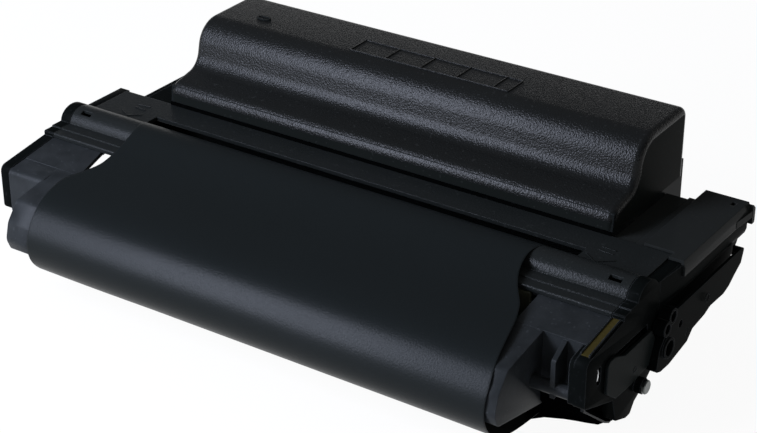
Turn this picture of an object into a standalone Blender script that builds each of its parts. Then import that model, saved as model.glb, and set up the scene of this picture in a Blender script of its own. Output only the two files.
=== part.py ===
# Laser toner cartridge: drum unit in front, toner hopper behind, joined by two end plates.
# X runs along the drum, -Y is the drum side, +Y the hopper side, Z is up, and Z = 0 is the face it rests on.
# All lengths are in metres. Section outlines are lists of (y, z, corner radius).

import math

import bmesh
import bpy
from mathutils import Matrix, Vector

# Clearances
GAP = 0.0003
ROLLER_GAP = 0.0004
RUNNING_GAP = 0.0003

# Lengths along the drum: the frame's own, and how far inside or outside its ends the rest stops
FRAME_LENGTH = 0.3136
END_PLATE = 0.0059
SLOT_MARGIN = 0.0338
WINDOW_MARGIN = 0.03495
HOPPER_MARGIN = 0.0298
DRUM_MARGIN = 0.0383
CHARGE_MARGIN = 0.0035
DEVELOPER_MARGIN = 0.0045
SUPPLY_MARGIN = 0.0075
GEAR_HOUSING_MARGIN = 0.0183
LEFT_HOUSING_MARGIN = 0.0134
COVER_PROUD = 0.0112
LID_MARGIN = 0.0140
BULGE_HOLE_MARGIN = 0.0043
GUARD_WIDTH = 0.0142
RIB_OFFSET = 0.0238
RIB_WIDTH = 0.0022
GEAR_WIDTH = 0.0070
HALF_FRAME = FRAME_LENGTH / 2
HALF_SLOT = HALF_FRAME - SLOT_MARGIN
HALF_WINDOW = HALF_FRAME - WINDOW_MARGIN
HALF_HOPPER = HALF_FRAME - HOPPER_MARGIN
DRUM_LENGTH = FRAME_LENGTH - 2 * DRUM_MARGIN
CHARGE_LENGTH = DRUM_LENGTH - 2 * CHARGE_MARGIN
DEVELOPER_LENGTH = DRUM_LENGTH - 2 * DEVELOPER_MARGIN
SUPPLY_LENGTH = DRUM_LENGTH - 2 * SUPPLY_MARGIN
GEAR_HOUSING_INNER = HALF_FRAME - GEAR_HOUSING_MARGIN
LEFT_HOUSING_OUTER = HALF_FRAME - LEFT_HOUSING_MARGIN
GUARD_OUTER = HALF_WINDOW + GUARD_WIDTH
PLATE_INNER = HALF_FRAME + GAP
PLATE_FACE = PLATE_INNER + END_PLATE
COVER_FACE = HALF_FRAME + COVER_PROUD

# Walls
WALL = 0.0020
THIN_WALL = 0.0015
SHEET_THICKNESS = 0.0005
BLADE_STEEL = 0.0012

# Top cover: deck, laser slot, bulge over the waste toner and the ledge in front of it
DECK_Z = 0.0600
DECK_REAR = 0.0252
SLOT_FRONT = 0.0006
SLOT_WIDTH = 0.0083
BULGE_Y = -0.0095
BULGE_Z = 0.0575
BULGE_DEPTH = 0.0090
BULGE_HEIGHT = 0.0070
BULGE_HOLE_LENGTH = 0.0063
BULGE_HOLE_FRONT = -0.0150
BULGE_HOLE_WIDTH = 0.0028
LEDGE_STEP_Y = -0.0250
LEDGE_STEP = 0.0006
LEDGE_FRONT = -0.0308
LEDGE_Z = 0.0576
LEDGE_DROP = 0.0038

# Drum frame: arms, guards and feet
PANEL_Z = 0.0552
PANEL_SLOPE = 0.1450
ARM_FRONT = -0.0628
ARM_BOTTOM = 0.0285
POCKET_BACK = -0.0513
GUARD_FRONT = -0.0895
GUARD_NOSE_Z = 0.0300
FOOT_FRONT = -0.0345
FOOT_FRONT_OUTER = -0.0265
FOOT_REAR = -0.0212
FOOT_REAR_HEIGHT = 0.0080
BAR_RADIUS = 0.0031
BEAM_REAR = -0.0225
BEAM_LIP_MARGIN = 0.0120
BEAM_DROP = 0.0060
RIGHT_BOX_WIDTH = 0.0020
RELIEF_WIDTH = 0.0047
RELIEF_REAR = -0.0262

# Hopper
HOPPER_FRONT = 0.0256
HOPPER_REAR = 0.0955
HOPPER_TOP = 0.0978
HOPPER_SEAM = 0.0705
HOPPER_SHELF_REAR = 0.0432
HOPPER_SHELF_RISE = 0.0045
SHOULDER_Y = 0.0485
SHOULDER_RADIUS = 0.0095
HOPPER_EDGE = 0.0022
TANK_LIP_Y = -0.0135
TANK_MOUTH_TOP = 0.0270
TANK_MOUTH_BACK = 0.0040
TANK_FLAT_REAR = 0.0400
HOUSING_DROP = 0.0006
SHELF_TOP = 0.0589
SHELF_REAR = 0.0800

# Bosses and screws that hold the two housings, and the filling hole at the left end
BOSS_RADIUS = 0.0040
SCREW_RADIUS = 0.0013
SCREW_LENGTH = 0.0070
SCREW_HEAD = 0.0027
SCREW_HEAD_HEIGHT = 0.0013
TANK_BOSSES = ((0.0340, 0.0500), (0.0745, 0.0520), (0.0460, 0.0215))
FILL_RADIUS = 0.0085
FILL_PLACE = (0.0440, 0.0345)

# Rollers, placed around the drum
DRUM_Y = -0.0300
DRUM_Z = 0.0260
DRUM_RADIUS = 0.0150
DRUM_WALL = 0.0010
CHARGE_ANGLE = 55.0
CHARGE_RADIUS = 0.0058
DEVELOPER_ANGLE = -25.0
SUPPLY_ANGLE = -5.0
SHAFT_RADIUS = 0.0030
PIN_RADIUS = 0.0024
PIN_HEAD_RADIUS = 0.0036
AGITATOR_Y = 0.0600
AGITATOR_Z = 0.0412
AGITATOR_REACH = 0.0230
SUPPLY_RADIUS = 0.0068
BEARING_TOP = 0.0044
BEARING_HALF = 0.0040
ARM_COUNT = 4

# Gear train: one module, one plane
MODULE = 0.0008
DRUM_TEETH = 40
DEVELOPER_TEETH = 21
SUPPLY_TEETH = 15
IDLER_TEETH = 20
STEP_TEETH = 24
AGITATOR_TEETH = 36
IDLER_3_ANGLE = 190.0
BACKLASH = 0.00030
TIP_SHARE = 0.85
ROOT_SHARE = 1.20

# Right end
COVER_TOP = 0.0428
COVER_SLOT_DEPTH = 0.0030
LID_INNER = HALF_FRAME - LID_MARGIN
LID_TOP = 0.0611
LID_REAR = 0.0884
LID_FRONT = 0.0258
LID_THICKNESS = 0.0014
LID_SIDE = PLATE_FACE + 0.0026
LID_SIDE_DROP = 0.0075
SKIRT_FRONT = 0.0205
FLANK_LOW = 0.0446
FLANK_TOP = 0.0532
FLANK_START = 0.0020
FLANK_REAR = 0.0872
FLANK_PROUD = 0.0021
PLATE_REAR = 0.0862
BOSS_WALL = 0.0012
BOSSES = (
    ("upper_boss", (0.0046, 0.0425), 0.0038),
    ("lower_boss", (-0.0004, 0.0384), 0.0036),
    ("hub", (0.0030, 0.0272), 0.0050),
)
GROOVE_LOW = 0.0365
GROOVE_TOP = 0.0428
GROOVE_DEPTH = 0.0030
PIVOT_Y = -0.0144
PIVOT_Z = 0.0159
PIVOT_RADIUS = 0.0033
PIVOT_REACH = 0.0052
PIVOT_DEPTH = 0.0030
COLLAR_RADIUS = 0.0037
COLLAR_REACH = 0.0034
CONTACT_Y = -0.0515
CONTACT_Z = 0.0392
CONTACT_HALF_WIDTH = 0.0017
CONTACT_HALF_HEIGHT = 0.0043
STRIP_THICKNESS = 0.0006

# Protective sheet over the drum: edge places are (y, distance outside the window's end)
SHEET_LEFT_EDGE = (
    (0.0010, -0.0010),
    (-0.0200, -0.0062),
    (-0.0310, -0.0058),
    (-0.0430, -0.0050),
    (-0.0600, 0.0027),
    (-0.0700, 0.0024),
    (-0.0840, 0.0004),
)
SHEET_RIGHT_EDGE = (
    (0.0010, -0.0105),
    (-0.0160, -0.0146),
    (-0.0300, -0.0112),
    (-0.0385, -0.0058),
    (-0.0435, 0.0000),
    (-0.0675, 0.0054),
    (-0.0860, 0.0093),
)
SHEET_STEP = 0.0024
SHEET_ARC_STEPS = 7

ARC_STEPS = 4
HOPPER_ARC_STEPS = 10
BULGE_STEPS = 14
ROUND_SIDES = 32
SMALL_SIDES = 20

BLACK = (0.013, 0.014, 0.014)
BLACK_SATIN = (0.020, 0.021, 0.021)
DEEP_BLACK = (0.008, 0.008, 0.009)
STEEL = (0.55, 0.56, 0.57)
DRUM_GREEN = (0.020, 0.075, 0.060)
RUBBER = (0.012, 0.012, 0.013)
FOAM = (0.30, 0.30, 0.29)
YELLOW_FOAM = (0.20, 0.17, 0.07)
NATURAL = (0.55, 0.54, 0.50)
CREAM = (0.62, 0.57, 0.42)


# Scene and collections
def clear_scene():
    for item in list(bpy.data.objects):
        bpy.data.objects.remove(item, do_unlink=True)


def new_collection(name):
    collection = bpy.data.collections.new(name)
    bpy.context.scene.collection.children.link(collection)
    return collection


def make_material(name, colour, roughness, metallic):
    material = bpy.data.materials.new(name)
    material.use_nodes = True
    shader = material.node_tree.nodes["Principled BSDF"]
    shader.inputs["Base Color"].default_value = (*colour, 1.0)
    shader.inputs["Roughness"].default_value = roughness
    shader.inputs["Metallic"].default_value = metallic
    return material


class Shop:
    """Holds the two collections that the pieces and the cutters go in."""

    def __init__(self):
        self.parts = new_collection("toner_cartridge")
        self.cutters = new_collection("cutters")

    def keep(self, item, name, colour, roughness=0.45, metallic=0.0):
        item.name = name
        item.data.materials.clear()
        item.data.materials.append(make_material(name + "_finish", colour, roughness, metallic))
        item.data.shade_smooth()
        item.data.set_sharp_from_angle(angle=math.radians(32))
        self.parts.objects.link(item)
        return item

    def hide(self, item):
        item.hide_render = True
        item.display_type = "WIRE"
        self.cutters.objects.link(item)
        return item

    def boolean(self, target, tool, operation):
        self.hide(tool)
        step = target.modifiers.new(operation.title() + " " + tool.name, "BOOLEAN")
        step.operation = operation
        step.solver = "EXACT"
        step.object = tool

    def cut(self, target, *tools):
        for tool in tools:
            self.boolean(target, tool, "DIFFERENCE")
        return target

    def join(self, target, *tools):
        for tool in tools:
            self.boolean(target, tool, "UNION")
        return target


# Outlines
def rounded(corners, steps=ARC_STEPS):
    """Turns corners (y, z, radius) into points, with an arc at each corner that has a radius."""
    points = []
    count = len(corners)
    for index, (y, z, radius) in enumerate(corners):
        here = Vector((y, z))
        if radius <= 0:
            points.append(here)
            continue
        before = (Vector(corners[index - 1][:2]) - here).normalized()
        after = (Vector(corners[(index + 1) % count][:2]) - here).normalized()
        half = before.angle(after) / 2
        reach = radius / math.tan(half)
        centre = here + (before + after).normalized() * (radius / math.sin(half))
        start = here + before * reach - centre
        turn = start.angle_signed(here + after * reach - centre)
        for step in range(steps + 1):
            points.append(centre + Matrix.Rotation(-turn * step / steps, 2) @ start)
    return points


def inset(corners, depth):
    """Moves every side of a corner outline inwards by depth; works for either winding."""
    area = sum(
        a[0] * b[1] - b[0] * a[1] for a, b in zip(corners, corners[1:] + corners[:1])
    )
    side = 1 if area > 0 else -1
    moved = []
    count = len(corners)
    for index, (y, z, radius) in enumerate(corners):
        here = Vector((y, z))
        before = (here - Vector(corners[index - 1][:2])).normalized()
        after = (Vector(corners[(index + 1) % count][:2]) - here).normalized()
        first = Vector((-before.y, before.x)) * side
        second = Vector((-after.y, after.x)) * side
        mitre = first + second
        shift = mitre * (2 * depth / mitre.length_squared)
        turns_out = before.cross(after) * side > 0
        new_radius = radius - depth if turns_out else radius + depth
        moved.append((*(here + shift), max(new_radius, 0.0) if radius > 0 else 0.0))
    return moved


def circle(radius, sides=ROUND_SIDES, centre=(0.0, 0.0)):
    return [
        Vector((centre[0] + radius * math.cos(turn), centre[1] + radius * math.sin(turn)))
        for turn in (math.tau * step / sides for step in range(sides))
    ]


def arc(centre, radius_y, radius_z, start, end, steps):
    """Points on an ellipse's arc, angles in degrees."""
    points = []
    for step in range(steps + 1):
        turn = math.radians(start + (end - start) * step / steps)
        points.append((centre[0] + radius_y * math.cos(turn), centre[1] + radius_z * math.sin(turn)))
    return points


# Solids
AXIS_TURN = {
    "X": Matrix.Rotation(math.pi / 2, 4, "Z") @ Matrix.Rotation(math.pi / 2, 4, "X"),
    "Y": Matrix.Rotation(math.pi / 2, 4, "X"),
    "Z": Matrix.Identity(4),
}


def curve_to_mesh(curve_item, name):
    """Makes a filled curve a welded mesh object and removes the curve."""
    bpy.context.scene.collection.objects.link(curve_item)
    bpy.context.view_layer.update()
    graph = bpy.context.evaluated_depsgraph_get()
    mesh = bpy.data.meshes.new_from_object(curve_item.evaluated_get(graph))
    work = bmesh.new()
    work.from_mesh(mesh)
    bmesh.ops.remove_doubles(work, verts=work.verts, dist=0.00001)
    bmesh.ops.recalc_face_normals(work, faces=work.faces)
    work.to_mesh(mesh)
    work.free()
    item = bpy.data.objects.new(name, mesh)
    item.matrix_world = curve_item.matrix_world
    bpy.data.objects.remove(curve_item, do_unlink=True)
    return item


def prism(name, outline, low, high, axis="X", holes=(), centre=(0.0, 0.0)):
    """A flat outline made as thick as low to high along an axis; X takes (y, z), Y takes (x, z)."""
    curve = bpy.data.curves.new(name, "CURVE")
    curve.dimensions = "2D"
    curve.fill_mode = "BOTH"
    curve.extrude = (high - low) / 2
    for loop in (outline, *holes):
        spline = curve.splines.new("POLY")
        spline.points.add(len(loop) - 1)
        for point, place in zip(spline.points, loop):
            point.co = (place[0], place[1], 0.0, 1.0)
        spline.use_cyclic_u = True
    item = bpy.data.objects.new(name + "_outline", curve)
    middle = (low + high) / 2
    place = {
        "X": (middle, centre[0], centre[1]),
        "Y": (centre[0], middle, centre[1]),
        "Z": (centre[0], centre[1], middle),
    }[axis]
    item.matrix_world = Matrix.Translation(place) @ AXIS_TURN[axis]
    return curve_to_mesh(item, name)


def loft(name, stations, axis="X"):
    """A closed body through outlines of equal count, given as (place, outline) along an axis."""
    mesh = bpy.data.meshes.new(name)
    work = bmesh.new()
    rings = []
    for place, outline in stations:
        rings.append([work.verts.new((point[0], point[1], place)) for point in outline])
    count = len(rings[0])
    for first, second in zip(rings, rings[1:]):
        for index in range(count):
            after = (index + 1) % count
            work.faces.new((first[index], first[after], second[after], second[index]))
    work.faces.new(rings[0])
    work.faces.new(rings[-1])
    bmesh.ops.recalc_face_normals(work, faces=work.faces)
    work.to_mesh(mesh)
    work.free()
    item = bpy.data.objects.new(name, mesh)
    item.matrix_world = AXIS_TURN[axis]
    return item


def box(name, low, high):
    mesh = bpy.data.meshes.new(name)
    work = bmesh.new()
    size = [b - a for a, b in zip(low, high)]
    bmesh.ops.create_cube(work, size=1.0, matrix=Matrix.Diagonal((*size, 1.0)))
    work.to_mesh(mesh)
    work.free()
    item = bpy.data.objects.new(name, mesh)
    item.location = [(a + b) / 2 for a, b in zip(low, high)]
    return item


def rod(name, radius, low, high, centre, sides=SMALL_SIDES):
    """A cylinder along X between two places, with its middle line at centre (y, z)."""
    mesh = bpy.data.meshes.new(name)
    work = bmesh.new()
    bmesh.ops.create_cone(
        work, cap_ends=True, segments=sides, radius1=radius, radius2=radius, depth=high - low
    )
    work.to_mesh(mesh)
    work.free()
    item = bpy.data.objects.new(name, mesh)
    item.matrix_world = Matrix.Translation(((low + high) / 2, *centre)) @ AXIS_TURN["X"]
    return item


def turned(name, profile, centre, sides=ROUND_SIDES):
    """A turned piece on an X axis; profile is (x, radius) from the +X end to the -X end."""
    mesh = bpy.data.meshes.new(name)
    work = bmesh.new()
    points = [work.verts.new((radius, 0.0, x)) for x, radius in profile]
    for first, second in zip(points, points[1:]):
        work.edges.new((first, second))
    if profile[0][1] > 0:
        work.edges.new((points[-1], points[0]))
    work.to_mesh(mesh)
    work.free()
    item = bpy.data.objects.new(name, mesh)
    spin = item.modifiers.new("Turn", "SCREW")
    spin.axis = "Z"
    spin.angle = math.tau
    spin.steps = sides
    spin.render_steps = sides
    spin.use_merge_vertices = True
    spin.merge_threshold = 0.00002
    item.matrix_world = Matrix.Translation((0.0, *centre)) @ AXIS_TURN["X"]
    return item


def soften(item, width, segments=2, angle=40.0):
    bevel = item.modifiers.new("Soft edges", "BEVEL")
    bevel.width = width
    bevel.segments = segments
    bevel.limit_method = "ANGLE"
    bevel.angle_limit = math.radians(angle)
    return item


# Places that several pieces share
DRUM = (DRUM_Y, DRUM_Z)


def around(centre, distance, angle):
    turn = math.radians(angle)
    return (centre[0] + distance * math.cos(turn), centre[1] + distance * math.sin(turn))


def pitch_radius(teeth):
    return teeth * MODULE / 2


def gear_distance(first, second):
    return pitch_radius(first) + pitch_radius(second)


def beside(first, first_reach, second, second_reach, side):
    """The point at two given distances from two centres, to the left (1) or right (-1) of first to second."""
    span = Vector(second) - Vector(first)
    distance = span.length
    along = (first_reach**2 - second_reach**2 + distance**2) / (2 * distance)
    across = math.sqrt(first_reach**2 - along**2)
    direction = span / distance
    normal = Vector((-direction.y, direction.x)) * side
    return tuple(Vector(first) + direction * along + normal * across)


CHARGE = around(DRUM, DRUM_RADIUS + CHARGE_RADIUS + ROLLER_GAP, CHARGE_ANGLE)
DEVELOPER = around(DRUM, gear_distance(DRUM_TEETH, DEVELOPER_TEETH), DEVELOPER_ANGLE)
DEVELOPER_RADIUS = gear_distance(DRUM_TEETH, DEVELOPER_TEETH) - DRUM_RADIUS - ROLLER_GAP
SUPPLY = around(DEVELOPER, DEVELOPER_RADIUS + SUPPLY_RADIUS + ROLLER_GAP, SUPPLY_ANGLE)
IDLER_1 = beside(
    DEVELOPER,
    gear_distance(DEVELOPER_TEETH, IDLER_TEETH),
    SUPPLY,
    gear_distance(SUPPLY_TEETH, IDLER_TEETH),
    1,
)
AGITATOR = (AGITATOR_Y, AGITATOR_Z)
IDLER_3 = around(AGITATOR, gear_distance(AGITATOR_TEETH, STEP_TEETH), IDLER_3_ANGLE)
IDLER_2 = beside(
    IDLER_1,
    gear_distance(IDLER_TEETH, STEP_TEETH),
    IDLER_3,
    gear_distance(STEP_TEETH, STEP_TEETH),
    -1,
)
GEAR_LOW = GEAR_HOUSING_INNER + WALL + 0.0022
GEAR_HIGH = GEAR_LOW + GEAR_WIDTH


def panel_z(y):
    """Height of the arms' sloping panel at a place in Y."""
    return PANEL_Z - (LEDGE_FRONT - y) * PANEL_SLOPE


def bulge_arc(shrink=0.0, steps=BULGE_STEPS):
    """The bulge over the waste toner, from its hopper side to its drum side."""
    height = BULGE_HEIGHT - shrink
    depth = BULGE_DEPTH - shrink
    rear_lift = math.degrees(math.asin((DECK_Z - shrink - BULGE_Z) / height))
    front_lift = math.degrees(math.asin(max(LEDGE_Z + LEDGE_STEP - shrink - BULGE_Z, 0.0) / height))
    return arc((BULGE_Y, BULGE_Z), depth, height, rear_lift, 180.0 - front_lift, steps)


def cover_top_line():
    """The top cover's upper face from the deck's rear edge to the foot of the ledge."""
    return [
        (DECK_REAR, DECK_Z),
        *bulge_arc(),
        (LEDGE_STEP_Y, LEDGE_Z + LEDGE_STEP),
        (LEDGE_STEP_Y, LEDGE_Z),
        (LEDGE_FRONT + 0.0005, LEDGE_Z),
        (LEDGE_FRONT, LEDGE_Z - 0.0005),
        (LEDGE_FRONT, LEDGE_Z - LEDGE_DROP + 0.0016),
    ]


# Rear half: tank, hopper cover and what hangs on them
def tank_corners():
    return [
        (HOPPER_FRONT + 0.0010, HOPPER_SEAM - GAP, 0.0),
        (HOPPER_FRONT, DECK_Z + 0.0008, 0.0),
        (HOPPER_FRONT, 0.0440, 0.0),
        (0.0150, TANK_MOUTH_TOP + 0.0030, 0.0030),
        (TANK_MOUTH_BACK, TANK_MOUTH_TOP, 0.0),
        (TANK_LIP_Y, TANK_MOUTH_TOP, 0.0),
        (TANK_LIP_Y, 0.0, 0.0),
        (TANK_FLAT_REAR, 0.0, 0.0),
        (0.0660, 0.0090, 0.0120),
        (0.0880, 0.0300, 0.0120),
        (HOPPER_REAR, 0.0460, 0.0080),
        (HOPPER_REAR, HOPPER_SEAM - GAP, 0.0),
    ]


def build_tank(shop):
    tank = prism("toner_tank", rounded(tank_corners()), -HALF_HOPPER, HALF_HOPPER)
    hollow = prism(
        "tank_hollow", rounded(inset(tank_corners(), WALL)), -HALF_HOPPER + WALL, HALF_HOPPER - WALL
    )
    top = box(
        "tank_top",
        (-HALF_HOPPER + WALL, HOPPER_FRONT + 0.0010 + WALL, DECK_Z),
        (HALF_HOPPER - WALL, HOPPER_REAR - WALL, HOPPER_SEAM + WALL),
    )
    mouth = box(
        "tank_mouth",
        (-HALF_HOPPER - WALL, TANK_LIP_Y - WALL, 0.0030),
        (HALF_HOPPER + WALL, TANK_MOUTH_BACK - 0.0010, TANK_MOUTH_TOP + WALL),
    )
    shop.cut(tank, hollow, top, mouth)
    for label, centre in (("supply", SUPPLY), ("agitator", AGITATOR)):
        hole = rod(label + "_wall_holes", SHAFT_RADIUS + 0.0022, -HALF_HOPPER - WALL,
                   HALF_HOPPER + WALL, centre)
        shop.cut(tank, hole)
    for number, (y, z) in enumerate(TANK_BOSSES):
        for side, end in ((1, GEAR_HOUSING_INNER - GAP), (-1, LEFT_HOUSING_OUTER - GAP)):
            low, high = sorted((side * (HALF_HOPPER - WALL / 2), side * end))
            shop.join(tank, rod("tank_boss_%d" % number, BOSS_RADIUS, low, high, (y, z), 16))
            pilot = sorted((side * (end - SCREW_LENGTH), side * (end + WALL)))
            shop.cut(tank, rod("pilot_%d" % number, SCREW_RADIUS + GAP, *pilot, (y, z), 12))
    fill = rod("fill_hole", FILL_RADIUS - 0.0010 + GAP, -HALF_HOPPER - WALL, -HALF_HOPPER + 2 * WALL, FILL_PLACE, 28)
    shop.cut(tank, fill)
    return shop.keep(tank, "toner_tank", BLACK_SATIN, 0.35)


def hopper_corners():
    shelf_z = HOPPER_SEAM + 0.0016
    return [
        (HOPPER_FRONT + 0.0012, HOPPER_SEAM, 0.0),
        (HOPPER_FRONT + 0.0012, shelf_z, 0.0013),
        (HOPPER_SHELF_REAR, shelf_z + HOPPER_SHELF_RISE, 0.0060),
        (SHOULDER_Y, HOPPER_TOP - 0.0006, SHOULDER_RADIUS),
        (HOPPER_REAR, HOPPER_TOP, 0.0050),
        (HOPPER_REAR, HOPPER_SEAM, 0.0),
    ]


def build_hopper_cover(shop):
    cover = prism("hopper_cover", rounded(hopper_corners(), HOPPER_ARC_STEPS), -HALF_HOPPER, HALF_HOPPER)
    soften(cover, HOPPER_EDGE, 3, 60.0)
    inner = inset(hopper_corners(), WALL)
    inner[0] = (inner[0][0], HOPPER_SEAM - WALL, 0.0)
    inner[-1] = (inner[-1][0], HOPPER_SEAM - WALL, 0.0)
    hollow = prism("hopper_hollow", rounded(inner), -HALF_HOPPER + WALL, HALF_HOPPER - WALL)
    shop.cut(cover, hollow)
    return shop.keep(cover, "hopper_cover", BLACK, 0.38)


def build_gear_housing(shop):
    """Open box at the right end that carries the gears: a wall, a rim and a post for each idler."""
    top, front_top, rear = DECK_Z - HOUSING_DROP, DECK_Z - 2 * WALL, SHELF_REAR
    front = DRUM_Y + 0.0100
    corners = [
        (front, 0.0042, 0.0040),
        (0.0300, 0.0042, 0.0060),
        (0.0500, 0.0160, 0.0060),
        (0.0740, 0.0230, 0.0060),
        (rear, 0.0400, 0.0),
        (rear, top, 0.0),
        (LID_FRONT + 0.0004, top, 0.0),
        (LID_FRONT + 0.0004, front_top, 0.0),
        (front, front_top, 0.0030),
    ]
    shell = prism("gear_housing", rounded(corners), GEAR_HOUSING_INNER, PLATE_INNER - GAP)
    hollow = prism(
        "gear_room", rounded(inset(corners, WALL)), GEAR_HOUSING_INNER + WALL, PLATE_FACE
    )
    shop.cut(shell, hollow)
    shelf = box(
        "tank_shelf",
        (HALF_HOPPER + GAP, DECK_REAR + 0.0007, SHELF_TOP - THIN_WALL),
        (GEAR_HOUSING_INNER + WALL / 2, rear - WALL / 2, SHELF_TOP),
    )
    shop.join(shell, shelf)
    shop.cut(shell, box("gear_rim_relief", (GEAR_HIGH + 0.0010, -0.0300, 0.0), (PLATE_FACE, 0.0480, 0.0160)))
    gear_reach = pitch_radius(DRUM_TEETH) + MODULE + 0.0012
    shop.cut(shell, rod("drum_gear_room", gear_reach, GEAR_HOUSING_INNER - WALL, PLATE_FACE, DRUM, 32))
    for label, centre in (("developer", DEVELOPER), ("supply", SUPPLY), ("agitator", AGITATOR)):
        hole = rod(label + "_housing_hole", SHAFT_RADIUS + 0.0016, GEAR_HOUSING_INNER - WALL,
                   GEAR_HOUSING_INNER + 2 * WALL, centre)
        shop.cut(shell, hole)
    for label, centre in (("idler_1", IDLER_1), ("idler_2", IDLER_2), ("idler_3", IDLER_3)):
        post = rod(label + "_post", PIN_RADIUS, GEAR_HOUSING_INNER + WALL / 2, GEAR_HIGH + 0.0014, centre, 16)
        collar = rod(label + "_collar", PIN_RADIUS + 0.0016, GEAR_HOUSING_INNER + WALL / 2,
                     GEAR_LOW - RUNNING_GAP, centre, 16)
        shop.join(shell, post, collar)
    for number, place in enumerate(TANK_BOSSES):
        hole = rod("housing_screw_hole_%d" % number, SCREW_RADIUS + GAP, GEAR_HOUSING_INNER - WALL,
                   GEAR_HOUSING_INNER + 2 * WALL, place, 12)
        shop.cut(shell, hole)
    return shop.keep(shell, "gear_housing", BLACK_SATIN, 0.4)


def build_left_housing(shop):
    """Open box at the left end of the hopper, closed by its own cover plate."""
    top, front_top = DECK_Z - HOUSING_DROP, DECK_Z - 2 * WALL
    corners = [
        (0.0140, 0.0300, 0.0030),
        (0.0440, 0.0110, 0.0080),
        (0.0840, 0.0330, 0.0060),
        (0.0876, top, 0.0),
        (LID_FRONT + 0.0004, top, 0.0),
        (LID_FRONT + 0.0004, front_top, 0.0),
        (0.0140, front_top, 0.0030),
    ]
    inner = -HALF_HOPPER - GAP
    outer = -LEFT_HOUSING_OUTER
    shell = prism("left_housing", rounded(corners), outer, inner)
    hollow = prism("left_room", rounded(inset(corners, WALL)), outer - WALL, inner - WALL)
    shop.cut(shell, hollow)
    for number, (y, z) in enumerate(TANK_BOSSES):
        shop.cut(shell, rod("left_boss_hole_%d" % number, BOSS_RADIUS + GAP, outer - WALL, inner + WALL,
                            (y, z), 16))
    hole = rod("left_agitator_hole", SHAFT_RADIUS + 0.0022 + 0.0016, outer - WALL, inner + WALL, AGITATOR)
    filler = rod("left_filler_hole", FILL_RADIUS + 0.0010, outer - WALL, inner + WALL, FILL_PLACE, 28)
    shop.cut(shell, hole, filler)
    shop.keep(shell, "left_housing", BLACK_SATIN, 0.4)
    plate = prism("left_housing_cover", rounded(corners), outer - GAP - WALL, outer - GAP)
    for number, place in enumerate(TANK_BOSSES):
        hole = rod("cover_screw_hole_%d" % number, SCREW_RADIUS + GAP, outer - 3 * WALL, outer + WALL, place, 12)
        shop.cut(plate, hole)
    return shop.keep(plate, "left_housing_cover", BLACK_SATIN, 0.4)


def build_fill_cap(shop):
    """Stopper in the tank's filling hole at the left end."""
    start = -HALF_HOPPER
    profile = [
        (start + WALL + 0.0030, 0.0),
        (start + WALL + 0.0030, FILL_RADIUS - 0.0010),
        (start - GAP, FILL_RADIUS - 0.0010),
        (start - GAP, FILL_RADIUS + 0.0004),
        (start - GAP - 0.0012, FILL_RADIUS + 0.0004),
        (start - GAP - 0.0012, 0.0),
    ]
    return shop.keep(turned("fill_cap", profile, FILL_PLACE), "fill_cap", NATURAL, 0.5)


# Front half: top cover, drum frame and waste box
def build_top_cover(shop):
    upper = cover_top_line()
    under = DECK_Z - WALL
    lower = [
        (LEDGE_FRONT + THIN_WALL, LEDGE_Z - LEDGE_DROP + 0.0016),
        (LEDGE_FRONT + THIN_WALL, LEDGE_Z - THIN_WALL),
        *reversed(bulge_arc(THIN_WALL)),
        (0.0, under),
        (DECK_REAR, under),
    ]
    cover = prism("top_cover", upper + lower, -HALF_FRAME, HALF_FRAME)
    slot = box(
        "laser_slot",
        (-HALF_SLOT, SLOT_FRONT, DECK_Z - 0.0100),
        (HALF_SLOT, SLOT_FRONT + SLOT_WIDTH, DECK_Z + 0.0100),
    )
    shop.cut(cover, slot)
    hole_end = HALF_FRAME - BULGE_HOLE_MARGIN
    hole_rear = BULGE_HOLE_FRONT + BULGE_HOLE_WIDTH
    for side in (-1, 1):
        low, high = sorted((side * (hole_end - BULGE_HOLE_LENGTH), side * hole_end))
        hole_low = (low, BULGE_HOLE_FRONT, BULGE_Z - BULGE_HEIGHT / 2)
        hole_high = (high, hole_rear, BULGE_Z + 2 * BULGE_HEIGHT)
        shop.cut(cover, box("bulge_hole", hole_low, hole_high))
    return shop.keep(cover, "top_cover", BLACK_SATIN, 0.4)


def guard_corners():
    lower_z = GUARD_NOSE_Z - 0.0065
    return [
        (POCKET_BACK + 0.0040, panel_z(POCKET_BACK + 0.0040), 0.0),
        (-0.0800, panel_z(-0.0800) - 0.0006, 0.0040),
        (-0.0872, 0.0385, 0.0060),
        (GUARD_FRONT, GUARD_NOSE_Z, 0.0060),
        (-0.0868, lower_z, 0.0030),
        (POCKET_BACK + 0.0040, 0.0150, 0.0),
    ]


def arm_panel_corners():
    front = POCKET_BACK
    rear = LEDGE_FRONT + THIN_WALL + 0.0030
    return [
        (rear, panel_z(LEDGE_FRONT) - 0.0003, 0.0),
        (LEDGE_FRONT, panel_z(LEDGE_FRONT), 0.0),
        (front, panel_z(front), 0.0),
        (front, ARM_BOTTOM - 0.0030, 0.0020),
        (front + WALL, ARM_BOTTOM - 0.0030, 0.0),
        (front + WALL, panel_z(front) - THIN_WALL, 0.0),
        (rear, panel_z(LEDGE_FRONT) - THIN_WALL, 0.0),
    ]


def foot_corners(front):
    """Side view of a foot, from the arm's front wall down to the table and up again behind."""
    return [
        (POCKET_BACK, ARM_BOTTOM - 0.0025, 0.0),
        (POCKET_BACK, 0.0190, 0.0),
        (front - 0.0040, 0.0022, 0.0),
        (front, 0.0, 0.0),
        (FOOT_REAR, 0.0, 0.0),
        (FOOT_REAR, FOOT_REAR_HEIGHT, 0.0),
    ]


def foot_room(front):
    """The space inside a foot: its walls' inner faces, carried up past its open top."""
    room = inset(foot_corners(front), THIN_WALL)
    room[0] = (room[0][0], room[0][1] + 3 * WALL)
    room[-1] = (room[-1][0], room[-1][1] + 3 * WALL)
    return room


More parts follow.
